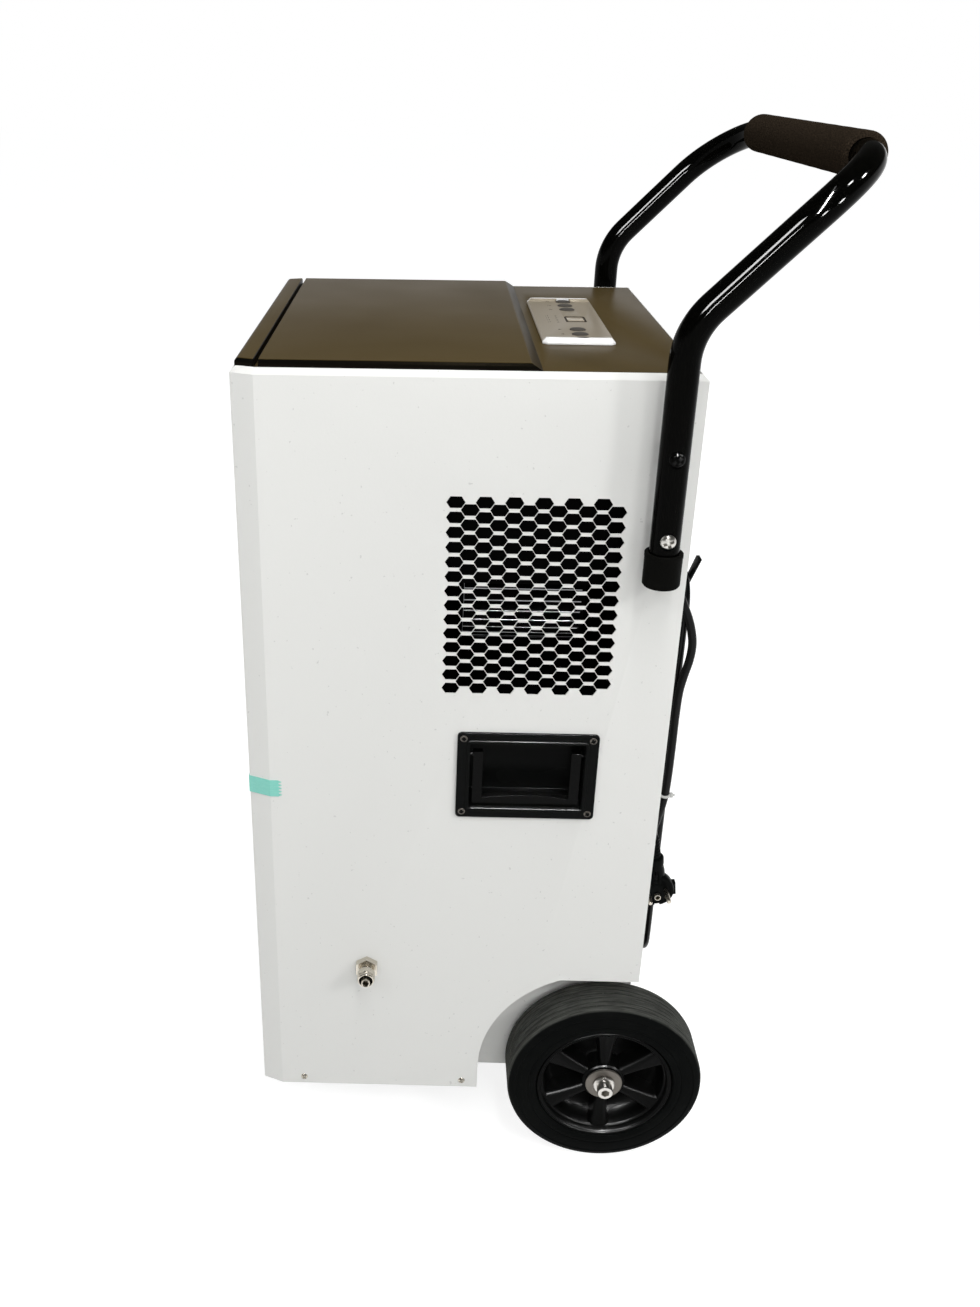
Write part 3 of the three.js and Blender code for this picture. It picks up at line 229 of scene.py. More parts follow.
def draw(name, points, close=True):
    """Pushes a point out from corner to corner, and fills the outline if it is closed."""
    points = [Vector(p) for p in points]
    piece = first_corner(name, points[0])
    for before, after in zip(points, points[1:]):
        bpy.ops.mesh.extrude_vertices_move(TRANSFORM_OT_translate={"value": after - before})
    if close:
        bpy.ops.mesh.select_all(action="SELECT")
        bpy.ops.mesh.edge_face_add()
    leave()
    return piece


def tidy_faces(piece, distance=0.02):
    """Merges doubled points and turns every face outwards."""
    edit(piece)
    bpy.ops.mesh.remove_doubles(threshold=distance * MM)
    bpy.ops.mesh.normals_make_consistent(inside=False)
    leave()


AXES = {"x": Vector((1, 0, 0)), "y": Vector((0, 1, 0)), "z": Vector((0, 0, 1))}


def on_plane(axis, points, level):
    """Places a flat drawing in millimetres at a level along an axis: (y, z), (x, z) or (x, y)."""
    if axis == "x":
        return [spot(level, u, v) for u, v in points]
    if axis == "y":
        return [spot(u, level, v) for u, v in points]
    return [spot(u, v, level) for u, v in points]


def slab(name, axis, points, start, end):
    """A flat outline given depth along an axis."""
    piece = draw(name, on_plane(axis, points, start))
    edit(piece)
    bpy.ops.mesh.extrude_region_move(
        TRANSFORM_OT_translate={"value": AXES[axis] * (end - start) * MM})
    leave()
    tidy_faces(piece)
    return piece


def spun(name, axis, middle, profile, steps=64, closed=False):
    """Spins a profile of (radius, place along the axis) points round an axis through a point."""
    along = AXES[axis]
    out = AXES["z"] if axis != "z" else AXES["x"]
    middle = Vector(middle)
    points = [middle + out * radius * MM + along * place * MM for radius, place in profile]
    if closed:
        points.append(points[0])
    piece = draw(name, points, close=False)
    edit(piece)
    bpy.ops.mesh.spin(steps=steps, angle=2 * math.pi, center=middle, axis=along)
    leave()
    tidy_faces(piece)
    return piece


def corner_arc(u, v, radius, start, end, steps=6):
    """Points round a corner, angles in degrees."""
    return [
        (u + radius * math.cos(math.radians(start + (end - start) * i / steps)),
         v + radius * math.sin(math.radians(start + (end - start) * i / steps)))
        for i in range(steps + 1)]


def rounded_box_outline(u, v, width, height, radius, steps=5):
    """Outline of a rectangle with round corners about a middle."""
    w, h = width / 2 - radius, height / 2 - radius
    return (
        corner_arc(u + w, v + h, radius, 0, 90, steps)
        + corner_arc(u - w, v + h, radius, 90, 180, steps)
        + corner_arc(u - w, v - h, radius, 180, 270, steps)
        + corner_arc(u + w, v - h, radius, 270, 360, steps))


def join(*pieces):
    """Joins pieces into the first of them."""
    focus(pieces[0])
    for piece in pieces[1:]:
        piece.select_set(True)
    bpy.ops.object.join()
    return pieces[0]


def copy(piece, name):
    """A copy with a mesh of its own."""
    focus(piece)
    bpy.ops.object.duplicate()
    twin = bpy.context.object
    twin.name = name
    return twin


def reflect(piece):
    """Turns a right-hand piece into its left-hand twin by reflecting it across the middle."""
    focus(piece)
    piece.scale.x = -1
    bpy.ops.object.transform_apply(location=True, rotation=True, scale=True)
    edit(piece)
    bpy.ops.mesh.normals_make_consistent(inside=False)
    leave()
    return piece


def carve(piece, *tools):
    """Cuts tools away from a piece and removes them."""
    for tool in tools:
        modify(piece, "BOOLEAN", object=tool, operation="DIFFERENCE", solver="EXACT")
        bpy.data.objects.remove(tool)


def traced(node, name):
    """A copy of a frame part, with its loose triangles merged and flat areas made whole."""
    source = frame["nodes"][node]
    focus(source)
    bpy.ops.object.duplicate()
    piece = bpy.context.object
    piece.name = name
    piece.parent = None
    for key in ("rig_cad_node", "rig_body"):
        if key in piece:
            del piece[key]
    piece.data.materials.clear()
    edit(piece)
    bpy.ops.mesh.remove_doubles(threshold=0.002 * MM)
    bpy.ops.mesh.dissolve_limited(angle_limit=math.radians(0.5))
    bpy.ops.mesh.select_all(action="SELECT")
    bpy.ops.mesh.normals_make_consistent(inside=False)
    leave()
    return piece


def install(piece, body, slot, paint, *stands_for):
    """Sets a finished piece on its body, with its finish and the frame parts that it stands for."""
    fix_place(piece)
    piece.data.materials.clear()
    piece.data.materials.append(paint)
    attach(piece, body)
    if stands_for:
        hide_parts(*stands_for)
    if paint in glossy_blacks:
        shows_lamps.objects.link(piece)
    print(piece.name, len(piece.data.polygons), "faces")
    return piece

# %% [markdown]
# ## Writing materials as sums
#
# A procedural material is a net of small nodes, and a long net is hard to read as code. Here one small class wraps a
# socket, so that a pattern can be written as ordinary arithmetic, and a second one opens a material with its shader.
# What stays the same all over a surface is set straight on the shader, and only what changes is wired to it.

# %% Shader arithmetic
class Signal:
    """A value that changes over the surface, taken from one node's output."""

    def __init__(self, finish, socket):
        self.finish, self.socket = finish, socket

    def maths(self, operation, first, second):
        return self.finish.node("ShaderNodeMath", {"operation": operation}, {0: first, 1: second})

    def __add__(self, other):
        return self.maths("ADD", self, other)

    def __radd__(self, other):
        return self.maths("ADD", other, self)

    def __sub__(self, other):
        return self.maths("SUBTRACT", self, other)

    def __rsub__(self, other):
        return self.maths("SUBTRACT", other, self)

    def __mul__(self, other):
        return self.maths("MULTIPLY", self, other)

    def __rmul__(self, other):
        return self.maths("MULTIPLY", other, self)

    def __gt__(self, other):
        return self.maths("GREATER_THAN", self, other)

    def __pow__(self, other):
        return self.maths("POWER", self, other)


class Finish:
    """A material with one shader, whose nodes are added by plain calls."""

    def __init__(self, name, color, roughness, metallic=0.0, **constants):
        self.material = bpy.data.materials.new(name)
        self.material.use_nodes = True
        self.tree = self.material.node_tree
        self.shader = next(n for n in self.tree.nodes if n.type == "BSDF_PRINCIPLED")
        self.shader.inputs["Base Color"].default_value = (*color, 1)
        self.shader.inputs["Roughness"].default_value = roughness
        self.shader.inputs["Metallic"].default_value = metallic
        for key, value in constants.items():
            self.shader.inputs[key.replace("_", " ")].default_value = value
        self.material.diffuse_color = (*color, 1)

    def node(self, kind, settings=None, inputs=None, output=0):
        made = self.tree.nodes.new(kind)
        for key, value in (settings or {}).items():
            if key == "stops":
                for stop, (place, shade) in zip(made.color_ramp.elements, value):
                    stop.position, stop.color = place, (shade, shade, shade, 1)
            else:
                setattr(made, key, value)
        for key, value in (inputs or {}).items():
            self.connect(made.inputs[key], value)
        return Signal(self, made.outputs[output])

    def connect(self, socket, value):
        if isinstance(value, Signal):
            self.tree.links.new(value.socket, socket)
        else:
            socket.default_value = value

    def feed(self, socket, value):
        self.connect(self.shader.inputs[socket], value)

    def place(self, scale=(1, 1, 1), turn=(0, 0, 0), shift=(0, 0, 0)):
        """Object coordinates, stretched, turned or moved."""
        raw = self.node("ShaderNodeTexCoord", output="Object")
        return self.node(
            "ShaderNodeMapping", inputs={"Vector": raw, "Scale": scale, "Rotation": turn, "Location": shift})

    def noise(self, place, scale, detail=2.0, roughness=0.5):
        return self.node("ShaderNodeTexNoise", inputs={
            "Vector": place, "Scale": scale, "Detail": detail, "Roughness": roughness})

    def grain(self, place, scale, output="Distance"):
        return self.node(
            "ShaderNodeTexVoronoi", inputs={"Vector": place, "Scale": scale}, output=output)

    def ramp(self, value, low, high):
        """Stretches a band of values to the full range from 0 to 1."""
        return self.node("ShaderNodeMapRange", inputs={
            "Value": value, "From Min": low, "From Max": high, "To Min": 0.0, "To Max": 1.0})

    def blend(self, share, first, second):
        """A colour between two, by a share from 0 to 1."""
        mixed = self.node("ShaderNodeMix", {"data_type": "RGBA"}, output=2)
        sockets = mixed.socket.node.inputs
        self.connect(sockets[0], share)
        for socket, colour in ((sockets[6], first), (sockets[7], second)):
            self.connect(socket, colour if isinstance(colour, Signal) else (*colour, 1))
        return mixed

    def bump(self, height, distance, strength=1.0, under=None):
        inputs = {"Height": height, "Distance": distance, "Strength": strength}
        if under is not None:
            inputs["Normal"] = under
        made = self.node("ShaderNodeBump", inputs=inputs)
        self.feed("Normal", made)
        return made


# %% [markdown]
# ## Finishes
#
# A powder coat is never quite flat: the melted powder leaves a faint orange peel and a few specks of dust. Moulded
# plastic carries a fine spark-eroded grain. Rubber is dull and dusty where it has rolled, and plated steel shows
# drawn scratches. Each of these is a small change in height, shine or colour, at the true size of the real thing.

# %% Painted sheet steel
def powder_coat(name, color, roughness):
    paint = Finish(name, color, roughness, Specular_IOR_Level=0.12, Coat_Weight=0.06, Coat_Roughness=0.18)
    place = paint.place()
    peel = paint.noise(place, 420, 3, 0.55)
    waves = paint.noise(place, 5, 2, 0.5)
    specks = paint.ramp(paint.noise(place, 260, 2, 0.4), 0.735, 0.76)
    paint.feed("Roughness", roughness - 0.05 + waves * 0.1)
    paint.feed("Base Color", paint.blend(specks * 0.35, color, tuple(c * 0.55 for c in color)))
    paint.bump(peel + waves * 3, 0.00012, 0.55)
    return paint.material


white_paint = powder_coat("white_powder_coat", (0.8, 0.8, 0.775), 0.4)


# %% Glossy black lacquer on the tubes and handles
def gloss_black(name, roughness):
    lacquer = Finish(name, (0.001, 0.001, 0.0008), roughness, Specular_IOR_Level=0.03)
    place = lacquer.place()
    dust = lacquer.ramp(lacquer.noise(place, 300, 3, 0.6), 0.66, 0.74)
    lacquer.feed("Roughness", roughness + dust * 0.15)
    lacquer.bump(lacquer.noise(place, 12, 1, 0.5), 0.0004, 0.035)
    return lacquer.material


tube_lacquer = gloss_black("gloss_black_lacquer", 0.06)


# %% Moulded plastics
def moulded(name, color, roughness, grain_size=0.6, depth=0.00006, shine=0.35):
    """Plastic with a fine eroded grain, sized in millimetres."""
    plastic = Finish(name, color, roughness, Specular_IOR_Level=shine)
    place = plastic.place()
    pits = plastic.noise(place, 1000 / grain_size / 2, 3, 0.6)
    cloud = plastic.noise(place, 12, 2, 0.5)
    plastic.feed("Roughness", roughness - 0.06 + cloud * 0.12)
    plastic.feed("Base Color", plastic.blend(cloud, color, tuple(c * 0.86 for c in color)))
    plastic.bump(pits, depth, 0.7)
    return plastic.material


def cover_with_painted_light():
    """Plastic painted brown on its upward faces and near black on its upright edges, by which way each face points:
    painted light from above and painted shade on the sides.
    """
    cover = Finish(
        "cover_painted_lit_and_shaded", (0.12, 0.09, 0.042), 0.36, Specular_IOR_Level=0.05, Specular_Tint=(1.0, 0.75, 0.42, 1))
    place = cover.place()
    pits = cover.noise(place, 700, 3, 0.6)
    cloud = cover.noise(place, 9, 2, 0.5)
    facing = cover.node("ShaderNodeTexCoord", output="Normal")
    up = cover.node("ShaderNodeSeparateXYZ", inputs={0: facing}, output="Z")
    # Painted light and shade: faces that point up get the brown as if lit from above, upright faces get near black as
    # painted shade.
    painted_lit_share = cover.ramp(up, 0.8, 0.96)
    brown = cover.blend(cloud, (0.078, 0.055, 0.021), (0.064, 0.045, 0.017))
    cover.feed("Base Color", cover.blend(painted_lit_share, (0.0025, 0.0025, 0.002), brown))
    cover.feed("Roughness", 0.3 + cloud * 0.12)
    cover.bump(pits, 0.00005, 0.7)
    return cover.material


cover_plastic = cover_with_painted_light()
black_plastic = moulded("satin_black_plastic", (0.003, 0.0034, 0.0032), 0.26, 0.8, 0.00005, 0.035)
bail_plastic = moulded("bail_black_plastic", (0.0008, 0.0009, 0.0008), 0.24, 0.8, 0.00004, 0.06)
wheel_plastic = moulded("wheel_black_plastic", (0.0016, 0.0017, 0.0016), 0.3, 1.2, 0.00005, 0.035)
shaded_plastic = moulded("shaded_housing", (0.0006, 0.0006, 0.0006), 0.5, 0.8, 0.00004, 0.02)
grey_plastic = moulded("dark_grey_plastic", (0.035, 0.036, 0.038), 0.45, 0.8)
key_plastic = moulded("key_grey_rubber", (0.075, 0.068, 0.058), 0.5, 0.9)
cord_sheath = moulded("cord_sheath", (0.002, 0.002, 0.002), 0.24, 1.6, 0.00006, 0.15)


# %% Rubber of the tyres, feet and caps
def rubber(name, color, roughness, dust, axle=None, tread=0.0):
    """Dull rubber. Round an axle, what lies further out than the tread radius is dusty from the floor."""
    coat = Finish(name, color, roughness, Specular_IOR_Level=0.01)
    place = coat.place()
    cloud = coat.noise(place, 22, 4, 0.6)
    fine = coat.noise(place, 700, 3, 0.6)
    worn = coat.ramp(cloud, 0.42, 0.75) * dust
    if axle is not None:
        spoke = coat.place(scale=(0, 1, 1), shift=(0, -axle.y, -axle.z))
        out = coat.node("ShaderNodeVectorMath", {"operation": "LENGTH"}, {0: spoke}, output="Value")
        streaks = coat.ramp(coat.noise(coat.place(scale=(30, 1, 1)), 40, 4, 0.65), 0.4, 0.7)
        specks = coat.ramp(coat.noise(place, 520, 2, 0.5), 0.71, 0.74)
        worn = worn + coat.ramp(out, tread - 0.0015, tread) * (0.45 + streaks * 0.75 + specks * 3)
    coat.feed("Base Color", coat.blend(worn, color, (0.075, 0.077, 0.07)))
    coat.feed("Roughness", roughness - 0.08 + cloud * 0.2)
    coat.bump(fine + cloud * 2, 0.00015, 0.6)
    return coat.material


tyre_rubber = rubber("tyre_rubber", (0.0036, 0.004, 0.0039), 0.5, 0.03, AXLE, 0.0995)
cap_rubber = rubber("cap_rubber", (0.0045, 0.0045, 0.004), 0.5, 0.03)


# %% Foam of the grip
def foam():
    sponge = Finish("grip_foam", (0.02, 0.016, 0.012), 0.9, Specular_IOR_Level=0.0)
    place = sponge.place()
    cells = sponge.grain(place, 900)
    lumps = sponge.noise(place, 90, 3, 0.6)
    pores = sponge.ramp(cells, 0.15, 0.7)
    sponge.feed("Base Color", sponge.blend(pores, (0.012, 0.009, 0.0065), (0.03, 0.022, 0.015)))
    sponge.bump(pores + lumps * 1.5, 0.0004, 0.8)
    return sponge.material


grip_foam = foam()


# %% Plated and bare metals
def metal(name, color, roughness, scratch_along="x", scratch=0.12, bare=1.0):
    """Metal with fine drawn lines across one direction. A dull film on it makes it less than bare."""
    plate = Finish(name, color, roughness, bare)
    stretch = {"x": (3, 1, 1), "y": (1, 3, 1), "z": (1, 1, 3)}[scratch_along]
    place = plate.place(scale=stretch)
    lines = plate.noise(place, 1500, 3, 0.6)
    stains = plate.noise(place, 60, 3, 0.6)
    plate.feed("Roughness", roughness + lines * scratch + stains * 0.08)
    plate.feed("Base Color", plate.blend(stains, color, tuple(c * 0.75 for c in color)))
    plate.bump(lines, 0.00003, 0.5)
    return plate.material


zinc = metal("bright_zinc", (0.72, 0.7, 0.66), 0.2)
nickel = metal("bright_nickel", (0.74, 0.69, 0.6), 0.16)
worn_zinc = metal("dull_zinc", (0.17, 0.155, 0.135), 0.28, bare=0.7)
galvanised = metal("galvanised_sheet", (0.5, 0.52, 0.54), 0.4)
copper = metal("bare_copper", (0.72, 0.38, 0.22), 0.25)
fin_metal = metal("coil_fins", (0.6, 0.61, 0.62), 0.35, "z")


# %% Fan blades, with painted shade and a painted highlight at their outer edges
def fan_sheet(middle, tip, half_length):
    """Sheet painted near black as painted shade, with a painted highlight near white at its outer edges, found by their
    distance from the fan's axis.
    """
    sheet = Finish("fan_sheet_painted_shade_and_glint", (0.002, 0.002, 0.002), 0.3, Specular_IOR_Level=0.0)
    flat = sheet.place(scale=(1, 0, 1), shift=(-middle.x, 0, -middle.z))
    out = sheet.node("ShaderNodeVectorMath", {"operation": "LENGTH"}, {0: flat}, output="Value")
    wear = sheet.noise(sheet.place(scale=(1, 0.3, 1)), 90, 3, 0.6)
    along = sheet.node("ShaderNodeSeparateXYZ", inputs={0: sheet.place(shift=-middle)}, output="Y")
    between = sheet.ramp(along.maths("ABSOLUTE", along, 0.0), half_length, half_length - 0.001)
    # Painted highlight: a near-white metallic band at the blade tips where light would glint; the near black elsewhere
    # is painted shade.
    bare = sheet.ramp(out, tip - 0.0017, tip - 0.0012) * between
    sheet.feed("Base Color", sheet.blend(bare, (0.002, 0.002, 0.002), (0.6, 0.61, 0.63)))
    sheet.feed("Metallic", bare * 0.9)
    sheet.feed("Roughness", 0.3 + wear * 0.15)
    return sheet.material


# %% Silver lacquer of the control panel
def panel_silver():
    """Warm silver lacquer whose raised ends are painted near white as a painted highlight."""
    coat = Finish("silver_lacquer", (0.36, 0.31, 0.235), 0.38, 0.3)
    place = coat.place()
    flakes = coat.grain(place, 2600)
    cloud = coat.noise(place, 30, 2, 0.5)
    across = coat.node("ShaderNodeSeparateXYZ", inputs={0: place}, output="X")
    # The end bands are painted near white: a painted highlight on the bevels at both ends.
    ends = coat.ramp(across.maths("ABSOLUTE", across, 0.0), 0.0955, 0.0959)
    tone = coat.blend(cloud * 0.5 + flakes * 0.5, (0.4, 0.345, 0.262), (0.32, 0.275, 0.205))
    coat.feed("Base Color", coat.blend(ends, tone, (0.95, 0.95, 0.94)))
    coat.feed("Metallic", 0.3 - ends * 0.25)
    coat.feed("Roughness", 0.38 - ends * 0.16)
    coat.bump(flakes, 0.00002, 0.4)
    return coat.material


silver_lacquer = panel_silver()

# %% Tape, window and tie
def film():
    tape = Finish("green_tape_film", (0.22, 0.66, 0.56), 0.35)
    place = tape.place(scale=(1, 1, 6))
    fibres = tape.noise(place, 160, 3, 0.6)
    tape.feed("Base Color", tape.blend(fibres, (0.17, 0.6, 0.5), (0.32, 0.74, 0.64)))
    tape.bump(fibres, 0.0001, 0.5)
    return tape.material


tape_film = film()
window_plastic = moulded("window_plastic", (0.4, 0.345, 0.26), 0.2, 4.0, 0.00001, 0.1)
tie_plastic = moulded("white_tie", (0.6, 0.6, 0.58), 0.4, 2.0)
mark_ink = moulded("mark_ink", (0.04, 0.033, 0.024), 0.5, 1.0, 0.00003, 0.15)

# %% [markdown]
# ## Studio
#
# The floor and the background are plain and pale. What the camera sees behind the machine is white, while the light
# that falls on it is weaker, so the white cabinet keeps its own shade and does not burn out. The floor adds a little
# of its own glow for the camera alone, which leaves only the soft shadow visible.

# %% Floor and background
FLOOR_GLOW = 0.8
clear()
bpy.ops.mesh.primitive_plane_add(size=40)
floor = bpy.context.object
floor.name = "studio_floor"
floor_paint = bpy.data.materials.new("studio_floor")
floor_paint.use_nodes = True
tree = floor_paint.node_tree
tree.nodes.clear()
shadow_part = tree.nodes.new("ShaderNodeBsdfDiffuse")
shadow_part.inputs["Color"].default_value = (0.4, 0.4, 0.4, 1)
glow = tree.nodes.new("ShaderNodeEmission")
glow.inputs["Color"].default_value = (1, 1, 1, 1)
rays = tree.nodes.new("ShaderNodeLightPath")
mirrored = tree.nodes.new("ShaderNodeMath")
mirrored.operation = "ADD"
seen = tree.nodes.new("ShaderNodeMath")
seen.operation = "ADD"
seen.use_clamp = True
level = tree.nodes.new("ShaderNodeMath")
level.operation = "MULTIPLY"
level.inputs[1].default_value = FLOOR_GLOW
total = tree.nodes.new("ShaderNodeAddShader")
end = tree.nodes.new("ShaderNodeOutputMaterial")
tree.links.new(rays.outputs["Is Glossy Ray"], mirrored.inputs[0])
tree.links.new(rays.outputs["Is Transmission Ray"], mirrored.inputs[1])
tree.links.new(rays.outputs["Is Camera Ray"], seen.inputs[0])
tree.links.new(mirrored.outputs[0], seen.inputs[1])
tree.links.new(seen.outputs[0], level.inputs[0])
tree.links.new(level.outputs[0], glow.inputs["Strength"])
tree.links.new(shadow_part.outputs[0], total.inputs[0])
tree.links.new(glow.outputs[0], total.inputs[1])
tree.links.new(total.outputs[0], end.inputs["Surface"])
floor.data.materials.append(floor_paint)

# %% World
world = bpy.data.worlds.new("studio")
bpy.context.scene.world = world
world.use_nodes = True
tree = world.node_tree
tree.nodes.clear()
rays = tree.nodes.new("ShaderNodeLightPath")
even = tree.nodes.new("ShaderNodeBackground")
even.inputs["Color"].default_value = (0.99, 1.0, 1.0, 1)
even.inputs["Strength"].default_value = 0.5
white = tree.nodes.new("ShaderNodeBackground")
white.inputs["Color"].default_value = (1, 1, 1, 1)
white.inputs["Strength"].default_value = 1.0
ceiling = tree.nodes.new("ShaderNodeBackground")
ceiling.inputs["Color"].default_value = (0.9, 0.88, 0.84, 1)
ceiling.inputs["Strength"].default_value = 0.08
mirrored = tree.nodes.new("ShaderNodeMath")
mirrored.operation = "ADD"
direction = tree.nodes.new("ShaderNodeTexCoord")
rise = tree.nodes.new("ShaderNodeSeparateXYZ")
wall_top = tree.nodes.new("ShaderNodeMapRange")
wall_top.inputs["From Min"].default_value = 0.1
wall_top.inputs["From Max"].default_value = 0.2
surround = tree.nodes.new("ShaderNodeMixShader")
reflected = tree.nodes.new("ShaderNodeMixShader")
backdrop = tree.nodes.new("ShaderNodeMixShader")
end = tree.nodes.new("ShaderNodeOutputWorld")
tree.links.new(direction.outputs["Generated"], rise.inputs[0])
tree.links.new(rise.outputs["Z"], wall_top.inputs["Value"])
tree.links.new(wall_top.outputs[0], surround.inputs[0])
tree.links.new(white.outputs[0], surround.inputs[1])
tree.links.new(ceiling.outputs[0], surround.inputs[2])
tree.links.new(rays.outputs["Is Glossy Ray"], mirrored.inputs[0])
tree.links.new(rays.outputs["Is Transmission Ray"], mirrored.inputs[1])
tree.links.new(mirrored.outputs[0], reflected.inputs[0])
tree.links.new(even.outputs[0], reflected.inputs[1])
tree.links.new(surround.outputs[0], reflected.inputs[2])
tree.links.new(rays.outputs["Is Camera Ray"], backdrop.inputs[0])
tree.links.new(reflected.outputs[0], backdrop.inputs[1])
tree.links.new(white.outputs[0], backdrop.inputs[2])
tree.links.new(backdrop.outputs[0], end.inputs["Surface"])


# %% Lamps
shows_lamps = bpy.data.collections.new("glossy_black_pieces")
glossy_blacks = [tube_lacquer, bail_plastic, wheel_plastic, cord_sheath]


def lamp(name, place, target, width, height, power, shape="RECTANGLE", mirrored=False):
    """A flat lamp that faces a target. A mirrored one lights nothing, and only shows in the glossy black pieces."""
    clear()
    bpy.ops.object.light_add(type="AREA", location=place)
    light = bpy.context.object
    light.name = name
    light.data.shape = shape
    light.data.size, light.data.size_y = width, height
    light.data.energy = power
    light.rotation_mode = "QUATERNION"
    light.rotation_quaternion = (Vector(target) - Vector(place)).to_track_quat("-Z", "Y")
    light.visible_diffuse = not mirrored
    light.visible_glossy = mirrored
    if mirrored:
        light.light_linking.receiver_collection = shows_lamps
    return light


lamp("wall_light", (3.0, 0.3, 1.7), (0, 0, 0.5), 1.8, 1.8, 12.5)
for number, (place, power) in enumerate([((1.9, 2.0, 2.1), 18), ((2.2, 0.9, 2.6), 9), ((2.0, -1.5, 2.5), 9)]):
    lamp(f"side_light_{number + 1}", place, (0.1, 0, 0.5), 0.35, 0.35, power)
lamp("rear_light", (1.0, 3.0, 2.4), (0, 0, 0.6), 1.2, 1.2, 11)
lamp("far_light", (-2.4, 0.2, 3.4), (0, 0, 0.5), 1.4, 1.4, 14)
lamp("front_light", (0.4, -3.2, 2.0), (0, 0, 0.5), 1.2, 1.2, 12)
strip = lamp("ceiling_strip", (1.15, 0.1, 3.1), (0.1, 0, 0.6), 0.07, 2.4, 26)
strip.visible_glossy = True
lamp("bright_panel", (2.7, -1.85, 3.27), (0.2, 0.1, 0.9), 0.75, 1.6, 1100, mirrored=True)
lamp("low_strip", (3.9, -0.6, 2.0), (0.2, 0.1, 0.9), 0.15, 1.2, 260, mirrored=True)
lamp("long_strip", (1.9, 0.3, 3.2), (0.2, 0, 0.5), 0.15, 2.4, 2400, mirrored=True)
for number, place in enumerate([(1.3, 1.95, 3.85), (0.55, 3.1, 2.95), (2.2, 3.0, 1.65), (3.2, 1.9, 1.65)]):
    lamp(f"ceiling_spot_{number + 1}", place, (0.2, 0.2, 0.9), 0.45, 0.45, 200, "DISK", mirrored=True)
bpy.context.scene.view_settings.view_transform = "Standard"
print("studio ready")

# %% [markdown]
# ## Mains cord
#
# The cord leaves a gland low on the rear, is wound in long turns over two hooks, and hangs from the upper hook down
# to its plug. It is one flexible thing of one length, so it is one curve with a round section. The points follow the
# same route as the frame's plain stand-ins: the lead, the turns that lie one behind the other, and the free end.

# %% Route of the cord
CORD_RADIUS = 4.1
HOOK_X, HOOK_LOW, HOOK_HIGH = 80, 197, 590
TURN_RADIUS = 26
LAYERS = [199.3, 208.0]  # how far back each turn lies
GLAND_X, GLAND_Z = -10, 180
BOOT_BACK, BOOT_TOP = 193.3, 214  # the gland turns the cord upwards through a short boot
BESIDE = HOOK_X - TURN_RADIUS - 8.7
OUTER_TURN = TURN_RADIUS + 9.4  # the free end crosses the hook outside the other turns
PLUG = (126.0, 206.5, 279)
PLUG_LEAN, PLUG_NECK = math.radians(7), 64


def turn_point(centre, angle, back, radius=TURN_RADIUS):
    """A point on a turn round a hook; 0 degrees is straight up, 90 towards the outlet side."""
    a = math.radians(angle)
    return (HOOK_X + radius * math.sin(a), back, centre + radius * math.cos(a))


def cord_route():
    first, last = LAYERS
    points = [
        (GLAND_X, BOOT_BACK, BOOT_TOP + 0.3), (GLAND_X + 1, BOOT_BACK, BOOT_TOP + 14),
        (GLAND_X + 9, BOOT_BACK + 0.6, BOOT_TOP + 40), (BESIDE - 28, BOOT_BACK + 2, GLAND_Z + 103),
        (BESIDE - 9, first - 2, GLAND_Z + 131), (BESIDE - 1, first - 0.5, GLAND_Z + 156),
        (BESIDE, first, GLAND_Z + 175), (BESIDE + 3, first, GLAND_Z + 205), (HOOK_X - TURN_RADIUS, first, GLAND_Z + 250)]
    left, right = HOOK_X - TURN_RADIUS, HOOK_X + TURN_RADIUS
    for back in LAYERS:
        points += [(left, back, z) for z in (470, 520, 565)]
        points += [turn_point(HOOK_HIGH, a, back) for a in range(-90, 91, 18)]
        points += [(right, back, z) for z in (560, 500, 430, 360, 300, 240)]
        points += [turn_point(HOOK_LOW, a, back) for a in range(90, 271, 18)]
        if back == first:
            points += [
                (left, back + 0.3, 222), (left, back + 2.6, 260), (left, last - 1.6, 310), (left, last, 360),
                (left, last, 420)]
    outside = HOOK_X - OUTER_TURN
    points += [
        (left - 1.2, last, 219), (left - 5.2, last, 243), (BESIDE + 0.4, last, 268), (BESIDE, last, 285),
        (outside, last, 322), (outside, last, 417), (outside, last - 4.5, 497), (outside, first, 557)]
    points += [turn_point(HOOK_HIGH, a, first, OUTER_TURN) for a in range(-90, 31, 20)]
    points.append(turn_point(HOOK_HIGH, 58, first + 0.6, OUTER_TURN))
    side = HOOK_X + OUTER_TURN
    end_back, end_height = PLUG_NECK * math.sin(PLUG_LEAN), PLUG_NECK * math.cos(PLUG_LEAN)
    points += [(side + u, v, HOOK_HIGH - drop) for u, v, drop in (
        (-1.2, first + 3.5, -10), (0, last + 1.8, 6), (0.3, last + 6, 19), (0.8, last + 8.6, 34),
        (1.6, last + 7.6, 50), (2.6, last + 3.8, 67), (3.4, last + 1, 83), (4.6, last - 0.2, 106),
        (6, last - 0.5, 143), (7, last - 1, 177), (8, last - 2.2, 200), (9.2, last - 4.8, 216), (10.1, last - 7.6, 228))]
    points += [
        (PLUG[0], PLUG[1] - end_back - 0.7, PLUG[2] + end_height + 8),
        (PLUG[0], PLUG[1] - end_back, PLUG[2] + end_height + 0.3)]
    return [spot(*p) for p in points]


